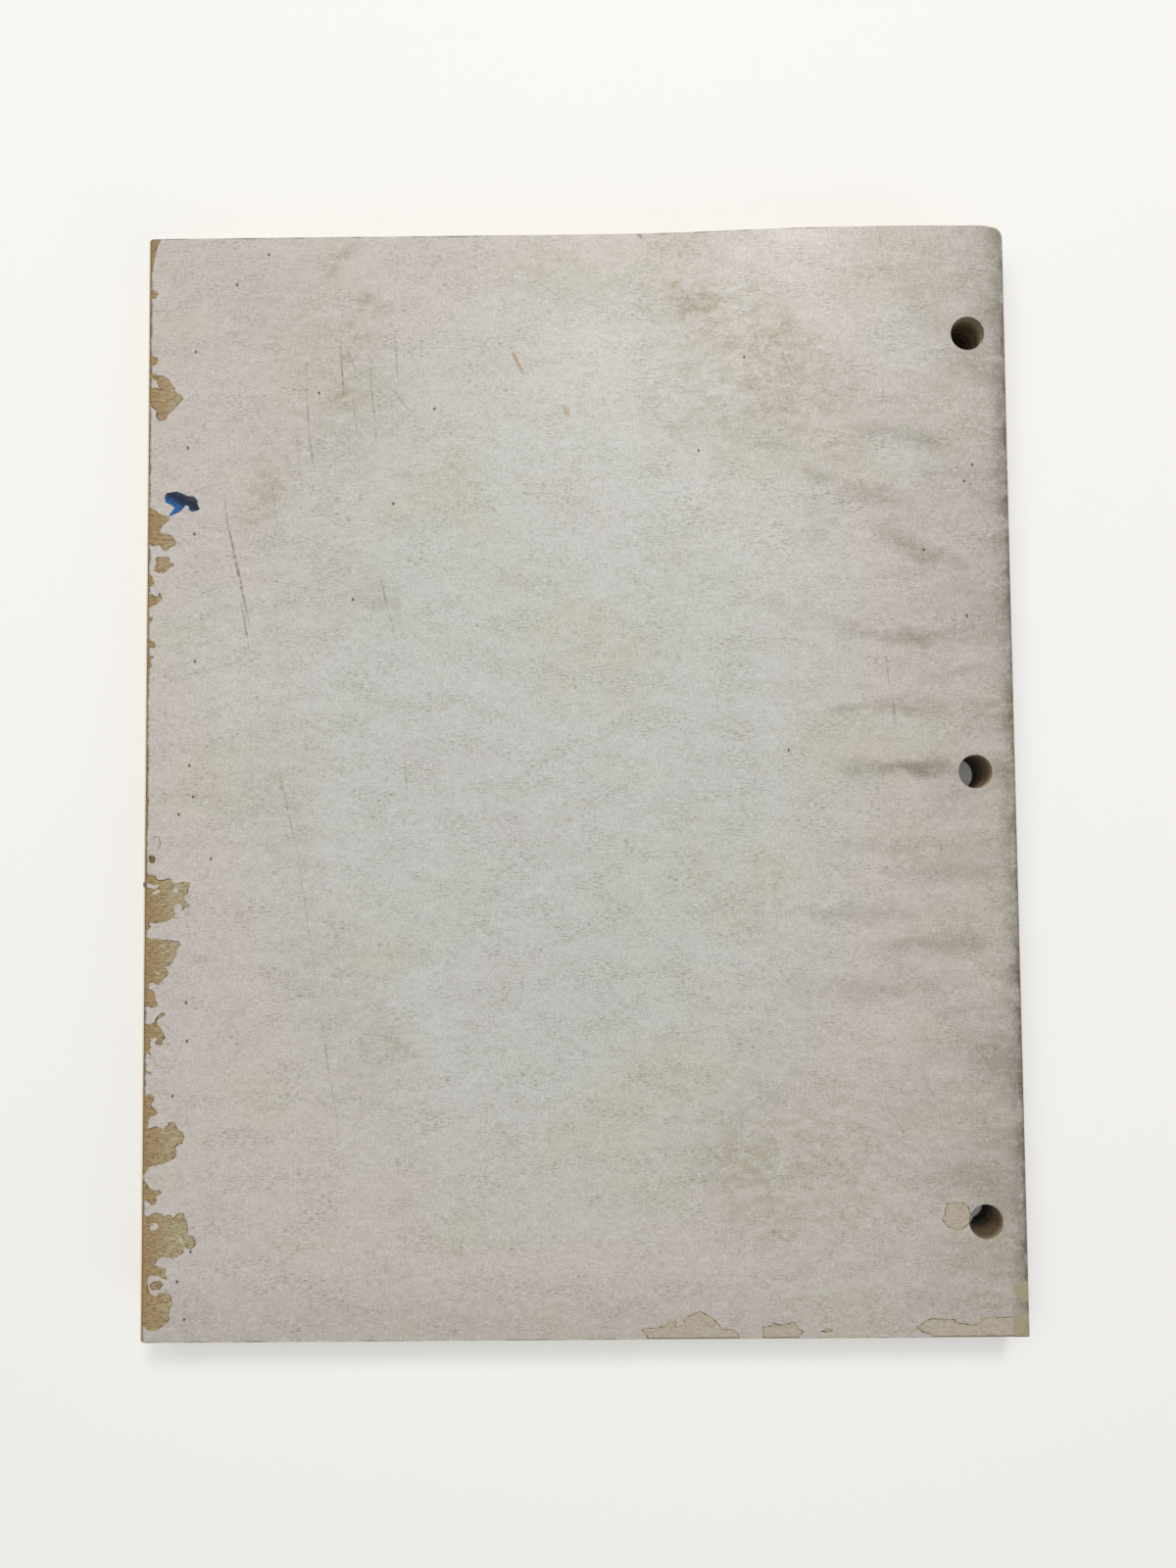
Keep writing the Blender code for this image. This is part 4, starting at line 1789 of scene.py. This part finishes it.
@dataclass
class LeafBlock:
    """The leaves, ten to a pack, each drilled and trimmed with its own small error.

    Args:
        book: Sizes of the book.
        finish: Material of the paper.
        drilled_finish: Material of the hole walls.
        stray: How far a leaf's fore edge strays, in metres.
        drill_stray: How far its holes stray, in metres.
    """

    book: Book
    finish: Material
    drilled_finish: Material
    stray: float = 0.09 * MM
    drill_stray: float = 0.07 * MM

    def leaf(self, bends: bool) -> Mesh:
        """One leaf with its three holes, lying on the ground.

        Args:
            bends: Whether it is sliced so that it can lift with the back cover.

        Returns:
            The leaf's mesh.
        """
        book = self.book
        mesh = bmesh.new()
        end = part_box("leaf_pack_01")[1].x + 0.05 * MM
        corners = [(book.fore, -book.head), (end, -book.head), (end, book.head), (book.fore, book.head)]
        rim = [mesh.verts.new((x, y, 0.0)) for x, y in corners]
        for start, finish in zip(rim, rim[1:] + rim[:1]):
            mesh.edges.new((start, finish))
        for x, y in book.hole_centres():
            centre = Matrix.Translation((x, y, 0.0))
            bmesh.ops.create_circle(
                mesh, segments=LEAF_HOLE_SIDES, radius=HOLE_RADIUS, matrix=centre, cap_ends=False
            )
        bmesh.ops.triangle_fill(mesh, use_beauty=True, use_dissolve=False, edges=mesh.edges[:])
        if bends:
            slice_mesh(mesh, [x for x in book.bends_across() if x < end], book.bends_along())
        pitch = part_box("leaf_pack_02")[0].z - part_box("leaf_pack_01")[0].z
        thicken(mesh, pitch / LEAVES_IN_PACK * LEAF_SHARE)
        for face in mesh.faces:
            wall = self.at_hole(face.calc_center_median().xy) and abs(face.normal.z) < 0.5
            face.material_index = 1 if wall else 0
        return to_data("leaf", mesh)

    def at_hole(self, spot: Vector) -> bool:
        """Whether a place lies on a hole's wall or inside it."""
        near = HOLE_RADIUS + 0.1 * MM
        return any((spot - Vector(hole)).length < near for hole in self.book.hole_centres())

    def build(self) -> list[Object]:
        """Make every pack's leaves, and hang the top pack's on its body.

        Returns:
            The new objects, one for each pack.
        """
        book = self.book
        plain, bending = self.leaf(False), self.leaf(True)
        pick = random.Random(41)
        made = []
        for number in range(1, book.packs + 1):
            name = f"leaf_pack_{number:02d}"
            low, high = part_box(name)
            edge = low.x - book.fore
            pitch = (high.z - low.z + book.gap) / LEAVES_IN_PACK
            top_pack = number == book.packs
            mesh, weights = bmesh.new(), []
            for index in range(LEAVES_IN_PACK):
                first = len(mesh.verts)
                mesh.from_mesh(bending if top_pack else plain)
                mesh.verts.ensure_lookup_table()
                leaf = mesh.verts[first:]
                self.place_leaf(leaf, edge, low.z - book.gap / 2.0 + index * pitch, pick)
                if top_pack:
                    share = TOP_LEAF_LIFT * ((index + 1) / LEAVES_IN_PACK) ** 2
                    for vertex in leaf:
                        vertex.co.z += share * book.lift_at(vertex.co.x, vertex.co.y)
                weights += [(index + 0.5) / LEAVES_IN_PACK] * len(leaf)
            piece = to_object(f"leaves_{number:02d}", mesh, [self.finish, self.drilled_finish])
            if top_pack:
                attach(piece, f"pack_{number:02d}")
            else:
                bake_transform(piece)
            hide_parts(name)
            made.append(piece)
        bpy.data.meshes.remove(plain)
        bpy.data.meshes.remove(bending)
        return made

    def place_leaf(
        self, leaf: Sequence[BMVert], edge: float, height: float, pick: random.Random
    ) -> None:
        """Put a leaf in its place with its own small errors.

        Args:
            leaf: The leaf's vertices.
            edge: How far its fore edge lies from the covers'.
            height: Height of its underside.
            pick: Source of the errors.
        """
        book = self.book
        fore = edge + pick.uniform(-1.0, 1.0) * self.stray
        end = pick.uniform(-1.0, 0.0) * self.stray
        drilled = Vector((pick.uniform(-1.0, 1.0), pick.uniform(-1.0, 1.0), 0.0)) * self.drill_stray
        for vertex in leaf:
            spot = vertex.co.xy
            if spot.x < book.fore + 1 * MM:
                vertex.co.x += fore
            if abs(spot.y) > book.head - 1 * MM:
                vertex.co.y += math.copysign(end, spot.y)
            if self.at_hole(spot):
                vertex.co += drilled
            vertex.co.z += height


@dataclass
class Studio:
    """The floor, the lights and the camera.

    Args:
        book: Sizes of the book.
        floor_finish: Material of the floor.
        eye: Where the camera stands.
        look: The way it looks.
        up: Which way is up in the picture.
        lens: Focal length in mm, for a 36 mm long side.
    """

    book: Book
    floor_finish: Material
    eye: tuple[float, float, float] = (0.0035, -0.0162, 0.3093)
    look: tuple[float, float, float] = (-0.0046, 0.0477, -0.9989)
    up: tuple[float, float, float] = (0.0091, 0.9988, 0.0477)
    lens: float = 27.65

    def build(self) -> None:
        """Make the floor, the lights and the camera."""
        self.floor()
        self.camera()
        spot = Vector((45 * MM, 124 * MM, self.book.top))
        mirror = Vector((0.084, 0.445, 0.892))
        self.light("key_softbox", spot + mirror * 1.25, spot, 0.26, 4.8, "fffaf4")
        middle = Vector((0, 0, 0))
        overhead = self.light("overhead_softbox", Vector((-0.25, 0.20, 1.5)), middle, 1.3, 13.6, "ffffff")
        fill = self.light("fill_softbox", Vector((0.9, -0.9, 0.8)), middle, 0.9, 2.6, "f6f9ff")
        for soft in (overhead, fill):
            soft.visible_glossy = False
        world = bpy.context.scene.world or bpy.data.worlds.new("studio")
        bpy.context.scene.world = world
        world.use_nodes = True
        background = world.node_tree.nodes["Background"]
        background.inputs["Color"].default_value = linear("f4f6f8")
        background.inputs["Strength"].default_value = 0.30
        bpy.context.scene.view_settings.view_transform = "Standard"

    def floor(self) -> None:
        """Lay the floor."""
        mesh = bmesh.new()
        bmesh.ops.create_grid(mesh, x_segments=1, y_segments=1, size=3.0)
        bmesh.ops.translate(mesh, vec=(0, 0, -0.05 * MM), verts=mesh.verts)
        to_object("floor", mesh, [self.floor_finish])

    def light(
        self, name: str, place: Vector, target: Vector, size: float, power: float, colour: str
    ) -> Object:
        """Hang a soft square light.

        Args:
            name: The light's name.
            place: Where it hangs.
            target: What it points at.
            size: Length of its side.
            power: Its power in watts.
            colour: Its colour as a hex code.

        Returns:
            The light's object.
        """
        data = bpy.data.lights.new(name, "AREA")
        data.size = size
        data.energy = power
        data.color = linear(colour)[:3]
        lamp = bpy.data.objects.new(name, data)
        bpy.context.scene.collection.objects.link(lamp)
        lamp.location = place
        lamp.rotation_mode = "QUATERNION"
        lamp.rotation_quaternion = (target - place).to_track_quat("-Z", "Y")
        return lamp

    def camera(self) -> None:
        """Set up the camera."""
        data = bpy.data.cameras.new("camera")
        data.lens = self.lens
        data.sensor_width = 36.0
        data.clip_start, data.clip_end = 0.01, 20.0
        camera = bpy.data.objects.new("camera", data)
        bpy.context.scene.collection.objects.link(camera)
        back = -Vector(self.look).normalized()
        right = Vector(self.up).cross(back).normalized()
        rows = Matrix((right, back.cross(right), back)).transposed()
        camera.matrix_world = Matrix.Translation(self.eye) @ rows.to_4x4()
        bpy.context.scene.camera = camera


def main() -> None:
    """Build the book's looks, piece by piece."""
    book = Book.from_frame()
    width, height = book.spine - book.fore, 2 * book.head
    log.info("book %.1f x %.1f x %.1f mm", width / MM, height / MM, book.top / MM)
    specks = [Mark((u - SPECK_REACH, v), (u + SPECK_REACH, v), SPECK_WIDTH, 0.9) for u, v in SPECKS]
    back_coat = CoatedBoard(
        book, streaks=SPINE_STREAKS, stains=STAINS, clean=CLEAN_PLACES, flecks=FLECKS,
        scratches=SCRATCHES, specks=specks, bare=BARE_PLACES,
    ).material()
    front_coat = CoatedBoard(book, name="clay_coated_front_board").material()
    spine_coat = CoatedBoard(book, name="clay_coated_spine_board").material()
    core = BoardCore(book).material()
    lining = UncoatedLining(book).material()

    flakes = [[book.from_fore(p) for p in outline] for outline in FORE_FLAKES]
    flakes += [[book.from_spine(p) for p in outline] for outline in TAIL_FLAKES]
    scraps = [[book.from_fore(p) for p in outline] for outline in COAT_SCRAPS]
    tears = [[book.from_fore(p) for p in outline] for outline in FORE_TEARS]
    rim = TornRim().material()
    back = CoverPanel(book, Side.BACK, back_coat, core, lining, rim, flakes, scraps, tears)
    back.build(seed=3)
    log.info("back cover: %d pieces", len(back.pieces))
    front = CoverPanel(book, Side.FRONT, front_coat, core, lining, rim)
    front.build(seed=17)
    log.info("front cover: %d pieces", len(front.pieces))
    log.info("blue chip: %s", BlueChip(book, BluePrint(book).material()).build().name)
    spine = Spine(book, back_coat, spine_coat, core, HotMeltGlue().material())
    log.info("spine: %d pieces", len(spine.build()))
    leaves = LeafBlock(book, BookPaper(book).material(), DrilledPaper().material())
    log.info("leaves: %d pieces", len(leaves.build()))
    Studio(book, MattFloor().material()).build()


if __name__ == "__main__":
    main()
